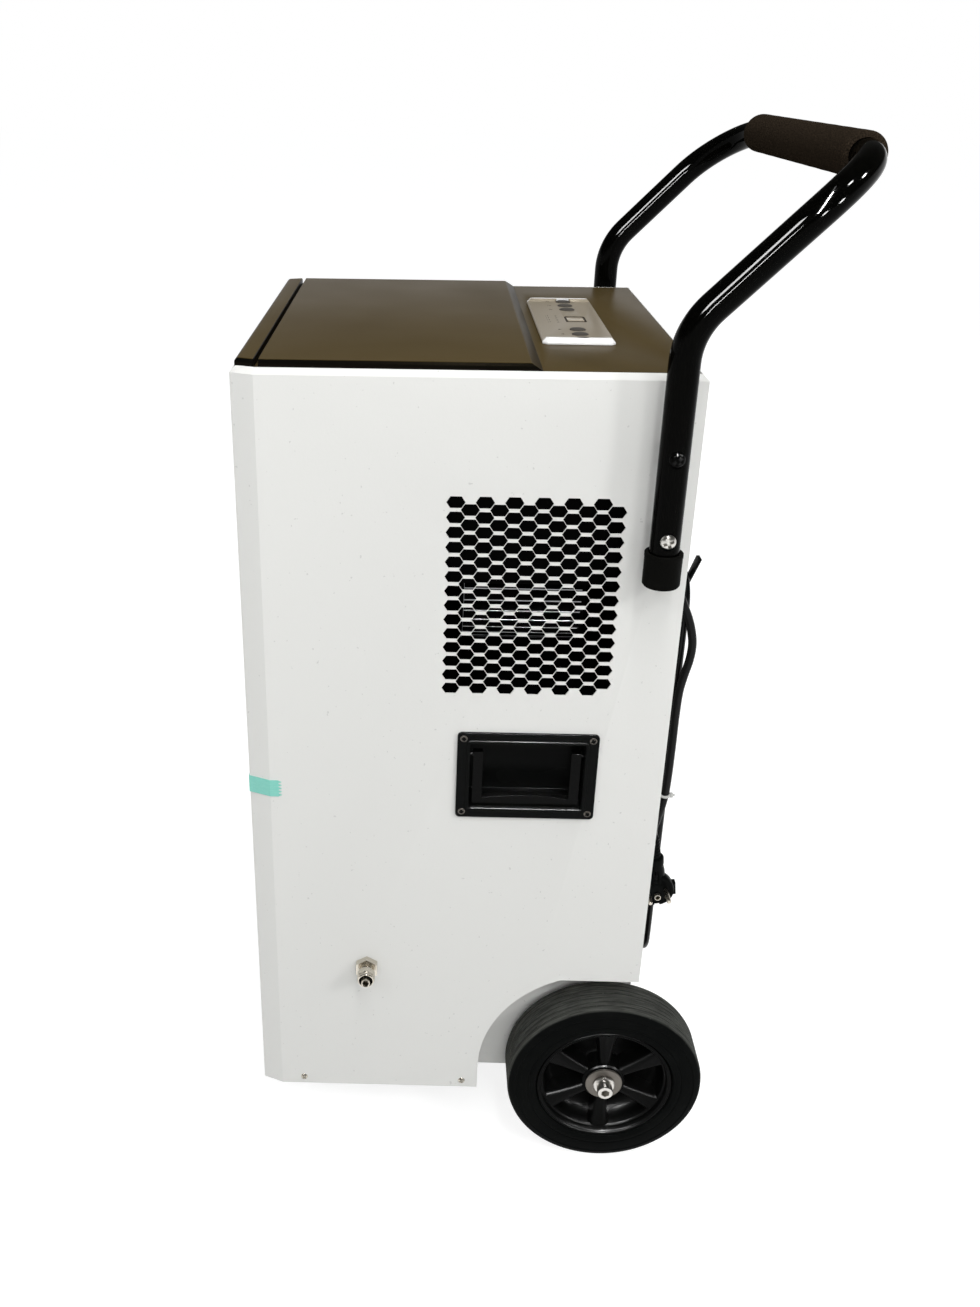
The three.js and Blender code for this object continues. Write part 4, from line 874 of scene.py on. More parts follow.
def through(points, steps=5):
    """A finer line that runs smoothly through listed points."""
    line = []
    for i in range(len(points) - 1):
        a = points[max(i - 1, 0)]
        b, c = points[i], points[i + 1]
        d = points[min(i + 2, len(points) - 1)]
        span_ab, span_bc, span_cd = (max((q - p).length, 1e-9) ** 0.5 for p, q in ((a, b), (b, c), (c, d)))
        slope_b = ((b - a) / span_ab - (c - a) / (span_ab + span_bc) + (c - b) / span_bc) * span_bc
        slope_c = ((c - b) / span_bc - (d - b) / (span_bc + span_cd) + (d - c) / span_cd) * span_bc
        if i == 0:
            slope_b = c - b
        if i == len(points) - 2:
            slope_c = c - b
        for k in range(steps):
            t = k / steps
            line.append(
                b * (2 * t**3 - 3 * t**2 + 1) + c * (3 * t**2 - 2 * t**3)
                + slope_b * (t**3 - 2 * t**2 + t) + slope_c * (t**3 - t**2))
    return line + [points[-1]]


def round_cord(name, points, radius, sides=6):
    """One open curve with a round section."""
    shape = bpy.data.curves.new(name, "CURVE")
    shape.dimensions = "3D"
    shape.bevel_depth = radius * MM
    shape.bevel_resolution = sides
    shape.use_fill_caps = True
    run = shape.splines.new("POLY")
    run.points.add(len(points) - 1)
    for item, place in zip(run.points, points):
        item.co = (*place, 1)
    piece = bpy.data.objects.new(name, shape)
    bpy.context.scene.collection.objects.link(piece)
    return piece


route = through(cord_route())
cord_length = sum((b - a).length for a, b in zip(route, route[1:]))
mains_cord = round_cord("mains_cord", route, CORD_RADIUS)
mains_cord.data.materials.append(cord_sheath)
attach(mains_cord, "chassis")
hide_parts("cord_lead", "cord_hank", "cord_tail")
print("cord length", round(cord_length, 3), "m")

# %% [markdown]
# ## Cabinet
#
# The cabinet is folded from painted sheet steel, 1.5 mm thick. The frame already has every fold, hole and flange in
# place, so each panel is traced from it, and the sharp edges are then rounded as a press brake and a coat of paint
# round them. That keeps the six-sided holes of the outlet exactly where they belong.

# %% Panels
PANELS = [
    ("side_panel_right", "outlet_side_panel"), ("side_panel_left", "plain_side_panel"),
    ("rear_panel", "rear_sheet"), ("front_panel", "front_sheet")]
for node, name in PANELS:
    panel = traced(node, name)
    soften(panel, 0.6, 2, 15)
    install(panel, "chassis", "white_paint", white_paint, node)

# %% Floor pan with the wheel wells
pan = traced("base_pan", "floor_pan")
soften(pan, 0.6, 2, 25)
install(pan, "chassis", "white_paint", white_paint, "base_pan")


# %% [markdown]
# ## Screws
#
# The machine is held together by a few kinds of screw. Each head is a turned profile: half of the outline is drawn,
# and spun round the axis of the screw. The recess for the driver is then carved out with two crossed bars.

# %% One screw for every place
def pan_screw(name, place, radius, height, depth, shank=None, side=1, turn=20, slot=0.42):
    """A pan head with a cross recess, facing along the side, whose seat is at a place in millimetres."""
    x, y, z = place
    profile = [
        (0, height), (radius * 0.35, height * 0.98), (radius * 0.66, height * 0.84), (radius * 0.88, height * 0.52),
        (radius, height * 0.16), (radius, 0)]
    profile += [(shank, 0), (shank, -depth), (0, -depth)] if shank else [(0, 0)]
    screw = spun(name, "x", spot(x, y, z), profile, 28)
    bars = []
    for angle in (turn, turn + 90):
        clear()
        bpy.ops.mesh.primitive_cube_add(size=1, location=spot(x + height, y, z))
        bar = bpy.context.object
        bar.scale = (height * 1.9 * MM, radius * 1.35 * MM, radius * slot * MM)
        bar.rotation_euler = (math.radians(angle), 0, 0)
        fix_place(bar)
        bars.append(bar)
    carve(screw, *bars)
    smooth(screw, 35)
    return reflect(screw) if side < 0 else screw


# %% [markdown]
# ## Top cover
#
# The lid is one dark moulding with a fine grain. Its front part is raised like a tray, a narrow strip runs across
# the front edge, and the rear part steps down to carry the control panel.

# %% Lid and front strip
lid = traced("top_cover", "lid")
soften(lid, 1.0, 3, 20)
install(lid, "chassis", "cover_black", cover_plastic, "top_cover")
strip = traced("front_trim", "lid_front_strip")
soften(strip, 1.0, 3, 20)
install(strip, "chassis", "cover_black", cover_plastic, "front_trim")

# %% [markdown]
# ## Control panel
#
# The control panel is a lacquered plate with a bevel at each end, painted near white as a painted highlight. Six soft
# keys lie in two groups of three, with a small printed mark beside each, and a display window sits between them. The
# marks are plain symbols, raised by the thickness of the ink.

# %% Plate, keys and window
KEYPAD_TOP = 840
KEY_PLACES = [-91, -70, -49, 49, 70, 91]
KEY_ROW = 94
plate = traced("control_panel", "control_plate")
soften(plate, 0.35, 2, 25)
install(plate, "chassis", "silver", silver_lacquer, "control_panel")

for number, x in enumerate(KEY_PLACES, 1):
    key = spun(f"key_{number}_cap", "z", spot(x, KEY_ROW, KEYPAD_TOP), [
        (0, 1.3), (2.4, 1.28), (4.6, 1.15), (6.2, 0.9), (7.1, 0.45), (7.4, -0.3), (7.4, -1.4), (0, -1.4)], 40)
    smooth(key, 40)
    install(key, f"key_{number}", "grey_plastic", key_plastic, f"button_{number}")

frame_of_window = slab(
    "window_frame", "z", rounded_box_outline(0, KEY_ROW + 3, 24.8, 18.8, 1.2), KEYPAD_TOP - 1, KEYPAD_TOP + 0.25)
opening = slab(
    "window_opening", "z", rounded_box_outline(0, KEY_ROW + 3, 21.8, 15.8, 0.8), KEYPAD_TOP - 2, KEYPAD_TOP + 2)
carve(frame_of_window, opening)
soften(frame_of_window, 0.15, 2)
install(frame_of_window, "chassis", "grey_plastic", mark_ink)
window = slab("window_pane", "z", rounded_box_outline(0, KEY_ROW + 3, 22.4, 16.4, 0.8), KEYPAD_TOP - 1.2, KEYPAD_TOP - 0.1)
soften(window, 0.15, 2)
install(window, "chassis", "window", window_plastic, "display_window")

# %% Printed marks
INK = (KEYPAD_TOP - 0.02, KEYPAD_TOP + 0.06)


def ring_mark(x, y, radius, wall=0.5):
    """A small printed ring."""
    outline = [(radius, INK[0] - KEYPAD_TOP), (radius, INK[1] - KEYPAD_TOP),
               (radius - wall, INK[1] - KEYPAD_TOP), (radius - wall, INK[0] - KEYPAD_TOP)]
    return spun("mark", "z", spot(x, y, KEYPAD_TOP), outline, 20, closed=True)


def bar_mark(x, y, width, depth):
    return slab("mark", "z", rounded_box_outline(x, y, width, depth, 0.2, 2), *INK)


def arrow_mark(x, y, size, way):
    return slab("mark", "z", [(x - size, y - size * way), (x + size, y - size * way), (x, y + size * way)], *INK)


marks = [
    ring_mark(-91, 78, 1.7), bar_mark(-91, 79.6, 0.5, 2.0),
    bar_mark(-70, 77, 3.0, 0.5), bar_mark(-70, 78.4, 3.0, 0.5), bar_mark(-70, 79.8, 3.0, 0.5),
    ring_mark(-49, 78, 1.7, 0.4), bar_mark(-48.4, 78, 1.3, 0.4),
    arrow_mark(49, 78, 1.6, 1), arrow_mark(70, 78, 1.6, -1),
    ring_mark(91, 78, 1.7, 0.5), bar_mark(91, 78, 1.4, 1.4)]
for step in range(4):
    x = -15 + step * 10
    marks += [ring_mark(x, 79.5, 1.0, 0.9), bar_mark(x - 0.5, 72, 3.2, 0.6), bar_mark(x + 0.3, 70.2, 2.0, 0.6)]
symbols = join(*marks)
symbols.name = "panel_symbols"
install(symbols, "chassis", "grey_plastic", mark_ink)

# %% [markdown]
# ## Push handle
#
# The handle is one steel tube, bent four times and lacquered gloss black. Its middle line is drawn first: two
# upright legs, a bend towards the rear, two slopes, and two corners that meet in the crossbar. A round section
# follows that line. Shallow seats are then milled for the heads of the four screws.

# %% Middle line of the tube
TUBE_SIDE, TUBE_RADIUS = 233.2, 12.5
LEG_BACK, LEG_FOOT = 155.3, 670
BEND_RADIUS = 60
CROSSBAR_BACK, CROSSBAR_HEIGHT = 291, 998
CORNER, CORNER_RUN, CORNER_RISE = 70, 60.5, 46
SEAT = TUBE_SIDE + TUBE_RADIUS - 1.2


def bezier(a, b, c, d, steps):
    """Points on a smooth arc with two handles."""
    return [
        a * (1 - t)**3 + b * 3 * t * (1 - t)**2 + c * 3 * t * t * (1 - t) + d * t**3
        for t in (i / steps for i in range(steps))]


def handle_line():
    slope = Vector((0, math.sqrt(0.5), math.sqrt(0.5)))
    start = Vector((TUBE_SIDE, CROSSBAR_BACK - CORNER_RUN, CROSSBAR_HEIGHT - CORNER_RISE))
    elbow = Vector((TUBE_SIDE, LEG_BACK, start.z - (start.y - LEG_BACK)))
    reach = BEND_RADIUS * math.tan(math.radians(22.5))
    pull = BEND_RADIUS * 4 / 3 * math.tan(math.radians(11.25))
    leg_top = elbow - Vector((0, 0, reach))
    slope_start = elbow + slope * reach
    crossbar = Vector((TUBE_SIDE - CORNER, CROSSBAR_BACK, CROSSBAR_HEIGHT))
    half = [Vector((TUBE_SIDE, LEG_BACK, LEG_FOOT))]
    half += bezier(leg_top, leg_top + Vector((0, 0, pull)), slope_start - slope * pull, slope_start, 12)
    half += [slope_start]
    half += bezier(start, start + slope * CORNER * 0.5523, crossbar + Vector((CORNER * 0.5523, 0, 0)), crossbar, 18)
    half += [crossbar]
    whole = half + [Vector((-p.x, p.y, p.z)) for p in reversed(half)]
    return [spot(*p) for p in whole]


def tube(name, points, radius, sides=6):
    """A round bar along a line, as a mesh."""
    piece = round_cord(name, points, radius, sides)
    focus(piece)
    bpy.ops.object.convert(target="MESH")
    piece = bpy.context.object
    tidy_faces(piece)
    return piece


# %% Tube and its spacers
handle = tube("push_handle", handle_line(), TUBE_RADIUS, 10)
seats = []
for side in SIDES.values():
    for z in (709, 778):
        clear()
        bpy.ops.mesh.primitive_cylinder_add(
            vertices=32, radius=7.5 * MM, depth=10 * MM, location=spot(side * (SEAT + 5), LEG_BACK, z),
            rotation=(0, math.pi / 2, 0))
        fix_place(bpy.context.object)
        seats.append(bpy.context.object)
carve(handle, *seats)
smooth(handle, 30)
spacers = []
for side in SIDES.values():
    for z in (709, 778):
        spacer = spun("spacer", "x", spot(0, LEG_BACK, z), [
            (0, 209.4), (7.2, 209.4), (8, 210.2), (8, 224), (0, 224)], 32)
        spacers.append(reflect(spacer) if side < 0 else spacer)
handle = join(handle, *spacers)
smooth(handle, 30)
install(handle, "chassis", "black_paint", tube_lacquer, "handle_tube")

# %% [markdown]
# The grip is a sleeve of closed-cell foam pushed over the crossbar, and each leg ends in a rubber cap with a thicker
# rim. Both are turned shapes. The sleeve is pulled a little out of true, because foam never sits perfectly round.

# %% Grip and end caps
HALF_GRIP, GRIP_RADIUS = 163, 18
grip = spun("foam_grip", "x", spot(0, CROSSBAR_BACK, CROSSBAR_HEIGHT), [
    (12.9, -HALF_GRIP), (16.2, -HALF_GRIP), (17.3, -HALF_GRIP + 0.7), (17.9, -HALF_GRIP + 2)]
    + [(GRIP_RADIUS - 0.15 * math.sin(i * 1.7)**2, -150 + i * 20) for i in range(16)]
    + [(17.9, HALF_GRIP - 2), (17.3, HALF_GRIP - 0.7), (16.2, HALF_GRIP), (12.9, HALF_GRIP)], 64, closed=True)
smooth(grip, 50)
install(grip, "chassis", "foam", grip_foam, "handle_grip")

for name, side in SIDES.items():
    cap = spun(f"leg_cap_{name}", "z", spot(side * TUBE_SIDE, LEG_BACK, LEG_FOOT), [
        (0, -3.8), (12, -3.8), (14.6, -3.2), (15.6, -1.8), (15.7, 0), (15.7, 22), (16, 22.6), (16, 25.6),
        (15.4, 26.2), (13.4, 26.2), (12.8, 25.6), (12.8, 0), (0, 0)], 48)
    smooth(cap, 40)
    install(cap, "chassis", "rubber", cap_rubber, f"end_cap_{name}")

# %% Handle screws
for name, side in SIDES.items():
    lower = pan_screw(f"lower_handle_screw_{name}", (SEAT + 0.3, LEG_BACK, 709), 6.5, 3.7, 44, 3, side)
    install(lower, "chassis", "steel", zinc, f"handle_screw_lower_{name}")
    upper = pan_screw(f"upper_handle_screw_{name}", (SEAT + 0.3, LEG_BACK, 778), 6.5, 3.7, 44, 3, side, 35)
    install(upper, "chassis", "black_paint", tube_lacquer, f"handle_screw_upper_{name}")

# %% [markdown]
# ## Carry handles
#
# Each side has a moulded tray let into the panel, with a bead round its mouth and a screw in each corner. A flat
# bail hangs in it from two pins near its upper corners, and folds out when the machine is lifted.

# %% Trays
PULL_BACK, PULL_HEIGHT = 56, 463
for name, side in SIDES.items():
    tray = traced(f"pull_tray_{name}", f"carry_tray_{name}")
    soften(tray, 0.8, 3)
    bead = slab("bead", "x", rounded_box_outline(PULL_BACK, PULL_HEIGHT, 112, 75.5, 4.5), 211, 212.9)
    mouth = slab("mouth", "x", rounded_box_outline(PULL_BACK, PULL_HEIGHT, 105.4, 68.9, 1.6), 205, 220)
    carve(bead, mouth)
    soften(bead, 1.3, 4)
    if side < 0:
        reflect(bead)
    tray = join(tray, bead)
    install(tray, "chassis", "black_plastic", black_plastic, f"pull_tray_{name}")
    shows_lamps.objects.link(tray)
    screws = [
        pan_screw("corner_screw", (211.7, PULL_BACK + u, PULL_HEIGHT + v), 3.4, 1.5, 4, 1.6, side, 15 + u + v, 0.7)
        for u in (-58.8, 58.8) for v in (-39.2, 39.2)]
    screws = join(*screws)
    screws.name = f"carry_tray_screws_{name}"
    install(screws, "chassis", "steel", worn_zinc)

# %% Bails
for name in SIDES:
    bail = traced(f"pull_bail_{name}", f"carry_bail_{name}")
    soften(bail, 1.8, 3, 40)
    install(bail, f"bail_{name}", "black_paint", bail_plastic, f"pull_bail_{name}")

# %% [markdown]
# ## Drain
#
# Condensed water leaves through a brass fitting plated with nickel: a six-sided collar against the panel, a length
# of thread, a union nut and a short nipple for the hose.

# %% Drain fitting and union nut
DRAIN = spot(0, -92, 235)


def six_sides(across, turn=0):
    """Corners of a hexagon from its width across flats."""
    corner = across / math.sqrt(3)
    return [
        (-92 + corner * math.cos(math.radians(60 * i + turn)), 235 + corner * math.sin(math.radians(60 * i + turn)))
        for i in range(6)]


collar = slab("drain_fitting_body", "x", six_sides(21, 90), 209.3, 215.8)
rounder = spun("rounder", "x", DRAIN, [(0, 200), (16, 200), (16, 213.2), (10.3, 216.6), (0, 216.6)], 48)
modify(collar, "BOOLEAN", object=rounder, operation="INTERSECT", solver="EXACT")
bpy.data.objects.remove(rounder)
thread = [(6.2 if i % 2 else 5.6, 216 + i * 0.6) for i in range(9)]
stem = spun("stem", "x", DRAIN, [
    (3, 191), (6.2, 191), (6.2, 209.3), (8.6, 209.4), (8.6, 216.6), (6.2, 216.8)] + thread
    + [(4.6, 220.9), (4.6, 233), (4.2, 235.6), (3.6, 236), (3, 235.4)], 40, closed=True)
lock_nut = slab("lock_nut", "x", six_sides(21), 202.2, 207.1)
fitting = join(collar, stem, lock_nut)
smooth(fitting, 28)
install(fitting, "chassis", "nickel", nickel, "drain_fitting")

union = slab("union_nut", "x", six_sides(17.2, 90), 221.2, 229)
rounder = spun("rounder", "x", DRAIN, [(0, 220), (8.4, 220), (9.4, 222.4), (9.4, 227), (8.2, 229.4), (0, 229.4)], 48)
modify(union, "BOOLEAN", object=rounder, operation="INTERSECT", solver="EXACT")
bpy.data.objects.remove(rounder)
shoulder = spun("shoulder", "x", DRAIN, [
    (5, 221.3), (7.6, 221.3), (7.6, 229), (8.3, 229.2), (8.3, 231), (7.8, 231.9), (6.9, 231.9), (6.4, 229), (5, 228.8)], 40, closed=True)
bore = spun("bore", "x", DRAIN, [(0, 219), (5, 219), (5, 234), (0, 234)], 32)
mouth = spun("mouth", "x", DRAIN, [(0, 228.9), (6.4, 228.9), (6.9, 234), (0, 234)], 32)
carve(union, bore, mouth)
union = join(union, shoulder)
smooth(union, 28)
install(union, "chassis", "nickel", nickel, "hose_nut")
# A black ring of the rubber finish fills the mouth of the union nut round the bore, so the mouth shows dark.
mouth_ring = spun("black_ring_in_nut_mouth", "x", DRAIN, [(4.65, 228.7), (6.3, 228.7), (6.5, 230), (5.5, 230.5), (4.65, 230)], 32, closed=True)
smooth(mouth_ring, 40)
install(mouth_ring, "chassis", "rubber", cap_rubber)

# %% [markdown]
# ## Wheels
#
# Each wheel has a solid rubber tyre on a moulded rim. The tyre is a turned profile with fine grooves round its
# tread. The rim is turned as well, with a deep dish, and then six spokes are modelled once, copied round the hub,
# and fused to it. The left wheel is the right one reflected.

# %% Tyres
WHEEL_SIDE = 204
for name, side in SIDES.items():
    middle = spot(WHEEL_SIDE, 154.5, 100)
    grooves = []
    for along in (-15, -9, -3, 3, 9, 15):
        grooves += [(100, along - 1.1), (98.9, along - 0.6), (98.9, along + 0.6), (100, along + 1.1)]
    tyre = spun(f"wheel_tyre_{name}", "x", middle, [
        (70.3, -22), (71.5, -24.2), (74.5, -25), (89, -25), (92, -24.8), (97.2, -23), (99.3, -21), (100, -18.5)]
        + grooves + [
        (100, 18.5), (99.3, 21), (97.2, 23), (92.4, 24.7), (91, 24.2), (90, 24.8), (80, 25), (79, 24.4), (78, 25),
        (74.5, 25), (71.5, 24.2), (70.3, 22)], 128, closed=True)
    smooth(tyre, 32)
    if side < 0:
        reflect(tyre)
    install(tyre, f"wheel_{name}", "tyre", tyre_rubber, f"tyre_{name}")


# %% Rims
def dish():
    """The turned part of the rim: barrel, web and hub in one closed profile."""
    return spun("rim", "x", spot(WHEEL_SIDE, 154.5, 100), [
        (70, -21), (70, 21.5), (69, 22.8), (67, 23), (66.2, 22.2), (65.4, 22.2), (64.6, 21.2), (64.2, 17), (63, 16.4),
        (62, 15), (61.4, 8), (60.7, 4), (59, 0.2), (56.4, -2.6), (53, -4.3), (49, -5), (25, -5), (22.6, -3.6), (22, -1), (22, 17), (20.8, 18.3), (15, 18.5),
        (10.4, 18.5), (10.4, -29), (21, -29), (22, -28), (22, -11), (24, -8), (60, -8), (63.6, -10), (65.2, -21.4),
        (67, -22)], 96, closed=True)


def spoke():
    """One spoke that widens outwards, with rounded upper edges."""
    outline = [(-5.4, 18), (5.4, 18), (6.4, 34), (8.4, 50), (11, 64), (-11, 64), (-8.4, 50), (-6.4, 34)]
    arm = slab("spoke", "x", [(154.5 + u, 100 + v) for u, v in outline], WHEEL_SIDE - 6, WHEEL_SIDE + 16.5)
    edit(arm, False)
    pick(arm, lambda middle, way: middle.x > (WHEEL_SIDE + 16) * MM and abs(way.normalized().z) > 0.9, "EDGE")
    bpy.ops.mesh.bevel(offset=4.2 * MM, segments=5, affect="EDGES")
    leave()
    return arm


rim = dish()
arms = []
first = spoke()
for step in range(6):
    arm = copy(first, "spoke")
    focus(arm)
    turn = Matrix.Rotation(math.radians(60 * step), 4, "X")
    centre = Matrix.Translation(spot(WHEEL_SIDE, 154.5, 100))
    arm.matrix_world = centre @ turn @ centre.inverted()
    fix_place(arm)
    arms.append(arm)
bpy.data.objects.remove(first)
for arm in arms:
    modify(rim, "BOOLEAN", object=arm, operation="UNION", solver="EXACT")
    bpy.data.objects.remove(arm)
smooth(rim, 34)
left_rim = reflect(copy(rim, "wheel_rim_moulding_left"))
smooth(left_rim, 34)
rim.name = "wheel_rim_moulding_right"
install(rim, "wheel_right", "black_plastic", wheel_plastic, "wheel_rim_right")
install(left_rim, "wheel_left", "black_plastic", wheel_plastic, "wheel_rim_left")

# %% Axle, washers and axle screws
for name, side in SIDES.items():
    washer = spun(f"axle_washer_{name}", "x", spot(0, 154.5, 100), [
        (5.4, 222.8), (18.6, 222.8), (19, 223.2), (19, 224.6), (18.6, 225), (5.4, 225)], 64, closed=True)
    smooth(washer, 30)
    flange = spun("flange", "x", spot(0, 154.5, 100), [
        (0, 225.3), (10.6, 225.3), (11, 225.7), (11, 227), (10.2, 227.9), (8, 228.1), (7.6, 228.6), (8, 229.2),
        (8, 236.4), (7.4, 237.5), (5.4, 237.8), (0, 237.8)], 48)
    socket = slab("socket", "x", [
        (154.5 + 4.6 * math.cos(math.radians(60 * i + 30)), 100 + 4.6 * math.sin(math.radians(60 * i + 30)))
        for i in range(6)], 231, 240)
    carve(flange, socket)
    shank = spun("shank", "x", spot(0, 154.5, 100), [(0, 198), (4.6, 198), (5, 199), (5, 226), (0, 226)], 32)
    screw = join(flange, shank)
    screw.name = f"axle_screw_{name}"
    smooth(screw, 30)
    if side < 0:
        reflect(washer)
        reflect(screw)
    install(washer, "chassis", "steel", worn_zinc, f"wheel_washer_{name}")
    install(screw, "chassis", "steel", zinc, f"wheel_screw_{name}")

# %% Axle and front feet
axle = traced("axle", "wheel_axle")
soften(axle, 0.6, 2)
install(axle, "chassis", "steel", zinc, "axle")
for name, side in SIDES.items():
    foot = spun(f"rubber_foot_{name}", "z", spot(side * 95, -150, 0), [
        (0, 0), (20, 0), (22.4, 1), (23, 3), (23, 12.5), (22, 14.6), (17, 19), (16, 22), (16, 66), (17.5, 68),
        (22, 70), (23, 71.5), (23, 74.6), (0, 74.6)], 40)
    smooth(foot, 35)
    install(foot, "chassis", "rubber", cap_rubber, f"front_foot_{name}")

# %% Screws along the lower edge of the sides
edge_screws = [
    pan_screw("edge_screw", (208.9, y, 84), 3.6, 2.0, 8, 1.8, side, 20 + y)
    for side in SIDES.values() for y in (-158.7, 7.6)]
edge_screws = join(*edge_screws)
edge_screws.name = "lower_edge_screws"
install(edge_screws, "chassis", "steel", nickel)

# %% [markdown]
# ## Air path
#
# Room air is drawn through the slats in the front and a washable filter, over the cold and the warm coil, and is
# blown out through the holes in the side. The fan is a squirrel cage: many thin curved blades between two rings.
# One blade is modelled and copied round the wheel; its faces carry painted shade and its outer edges a painted
# highlight, seen through the outlet.

# %% Slats and filter
INTAKE_WIDTH, INTAKE_LOW, INTAKE_HIGH, SLATS = 300, 300, 700, 16
PANEL_FACE = -202
FACE, DEEP = PANEL_FACE - 2.5, PANEL_FACE + 6
middle, height = (INTAKE_LOW + INTAKE_HIGH) / 2, INTAKE_HIGH - INTAKE_LOW
grille = slab("intake_slats", "y", rounded_box_outline(0, middle, INTAKE_WIDTH + 12, height + 12, 1.5), FACE, PANEL_FACE - 0.3)
collar = slab("collar", "y", rounded_box_outline(0, middle, INTAKE_WIDTH - 0.6, height - 0.6, 1), PANEL_FACE - 0.6, DEEP)
modify(grille, "BOOLEAN", object=collar, operation="UNION", solver="EXACT")
bpy.data.objects.remove(collar)
mouth = slab("mouth", "y", rounded_box_outline(0, middle, INTAKE_WIDTH - 8, height - 8, 1), FACE - 5, DEEP + 5)
carve(grille, mouth)
soften(grille, 0.7, 2)
pitch = height / SLATS
parts = [slab("rib", "x", [(FACE + 1, INTAKE_LOW + 3.5), (DEEP, INTAKE_LOW + 3.5), (DEEP, INTAKE_HIGH - 3.5), (FACE + 1, INTAKE_HIGH - 3.5)], -1.5, 1.5)]
first = slab("slat", "x", [(FACE, -3), (DEEP, 3), (DEEP, 5.5), (FACE, -0.5)], 0.5 - INTAKE_WIDTH / 2 + 3, INTAKE_WIDTH / 2 - 3.5)
soften(first, 0.6, 2)
for number in range(1, SLATS):
    slat = copy(first, "slat")
    slat.location.z = (INTAKE_LOW + number * pitch) * MM
    fix_place(slat)
    parts.append(slat)
bpy.data.objects.remove(first)
grille = join(grille, *parts)
smooth(grille, 35)
install(grille, "chassis", "black_plastic", black_plastic, "intake_grille")

filter_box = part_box("air_filter")
low, high = filter_box
clear()
bpy.ops.mesh.primitive_grid_add(x_subdivisions=40, y_subdivisions=52, size=1)
net = bpy.context.object
net.name = "filter_net"
net.scale = (high.x - low.x - 0.008, high.z - low.z - 0.008, 1)
net.rotation_euler = (math.pi / 2, 0, 0)
net.location = (low + high) / 2
fix_place(net)
modify(net, "WIREFRAME", thickness=0.0011, use_replace=True, use_even_offset=False)
border = slab("filter_border", "y", rounded_box_outline(
    0, (low.z + high.z) / 2 / MM, (high.x - low.x) / MM, (high.z - low.z) / MM, 5), low.y / MM - SHIFT, high.y / MM - SHIFT)
inside = slab("filter_inside", "y", rounded_box_outline(
    0, (low.z + high.z) / 2 / MM, (high.x - low.x) / MM - 16, (high.z - low.z) / MM - 16, 3), -210, -180)
carve(border, inside)
soften(border, 0.8, 2)
net = join(net, border)
install(net, "chassis", "grey_plastic", grey_plastic, "air_filter")


# %% Coils
def coil(node, name):
    """A block of thin upright fins between two end plates, with straight tubes passing through them."""
    low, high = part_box(node)
    depth, foot, top = high.y - low.y, low.z, high.z
    fins = []
    clear()
    bpy.ops.mesh.primitive_cube_add(size=1)
    fin = bpy.context.object
    fin.name = name
    fin.scale = (0.0006, depth - 0.006, top - foot - 0.008)
    fin.location = (low.x + 0.004, (low.y + high.y) / 2, (foot + top) / 2)
    fix_place(fin)
    modify(
        fin, "ARRAY", use_relative_offset=False, use_constant_offset=True,
        constant_offset_displace=(0.0042, 0, 0), count=int((high.x - low.x - 0.008) / 0.0042))
    pieces = [fin]
    for x in (low.x + 0.001, high.x - 0.001):
        plate = slab("end_plate", "x", [
            ((low.y) / MM - SHIFT, foot / MM), ((high.y) / MM - SHIFT, foot / MM),
            ((high.y) / MM - SHIFT, top / MM), ((low.y) / MM - SHIFT, top / MM)], x / MM - 1, x / MM + 1)
        soften(plate, 0.4, 2)
        pieces.append(plate)
    rows = int((top - foot - 0.03) / 0.05)
    for row in range(rows):
        for y in (low.y + depth * 0.3, low.y + depth * 0.7):
            z = foot + 0.03 + row * 0.05
            pieces.append(spun("pass", "x", Vector((0, y, z)), [
                (0, low.x / MM), (3.5, low.x / MM), (3.5, high.x / MM), (0, high.x / MM)], 12))
    whole = join(*pieces)
    smooth(whole, 30)
    return whole


for node, name in (("evaporator", "cold_coil"), ("condenser", "warm_coil")):
    install(coil(node, name), "chassis", "aluminium", fin_metal, node)

# %% Drip tray, housing and control box
for node, name, width, paint in (
        ("drip_tray", "water_tray", 0.6, black_plastic), ("fan_housing", "blower_housing", 0.5, shaded_plastic),
        ("control_box", "electronics_box", 2, black_plastic)):
    box = traced(node, name)
    soften(box, width, 2)
    install(box, "chassis", "black_plastic", paint, node)

# %% Fan wheel
FAN_X, FAN_Z, FAN_RADIUS = 70, 632, 86
FAN_FRONT, FAN_REAR = -8, 105
BLADES, FIRST_BLADE = 42, 2.7  # the first blade leans a little from upright
hub_side = spun("fan_wheel_cage", "y", spot(FAN_X, 0, FAN_Z), [
    (4.4, FAN_REAR - 24), (14, FAN_REAR - 24), (14, FAN_REAR - 3), (40, FAN_REAR - 3), (46, FAN_REAR - 2),
    (FAN_RADIUS, FAN_REAR - 2), (FAN_RADIUS, FAN_REAR), (4.4, FAN_REAR)], 80, closed=True)
inlet_ring = spun("inlet_ring", "y", spot(FAN_X, 0, FAN_Z), [
    (FAN_RADIUS - 17, FAN_FRONT), (FAN_RADIUS, FAN_FRONT), (FAN_RADIUS, FAN_FRONT + 3), (FAN_RADIUS - 2, FAN_FRONT + 3),
    (FAN_RADIUS - 17, FAN_FRONT + 1.4)], 80, closed=True)
profile = [(FAN_RADIUS - 1.5, 2.4), (FAN_RADIUS - 5, 0.6), (FAN_RADIUS - 9, -0.4), (FAN_RADIUS - 13, -0.7), (FAN_RADIUS - 16, -0.5)]
outer = [(FAN_X + v, FAN_Z + r) for r, v in profile]
inner = [(FAN_X + v + 1.0, FAN_Z + r) for r, v in reversed(profile)]
first = slab("blade", "y", outer + inner, FAN_FRONT + 2, FAN_REAR - 1.5)
cage = [hub_side, inlet_ring]
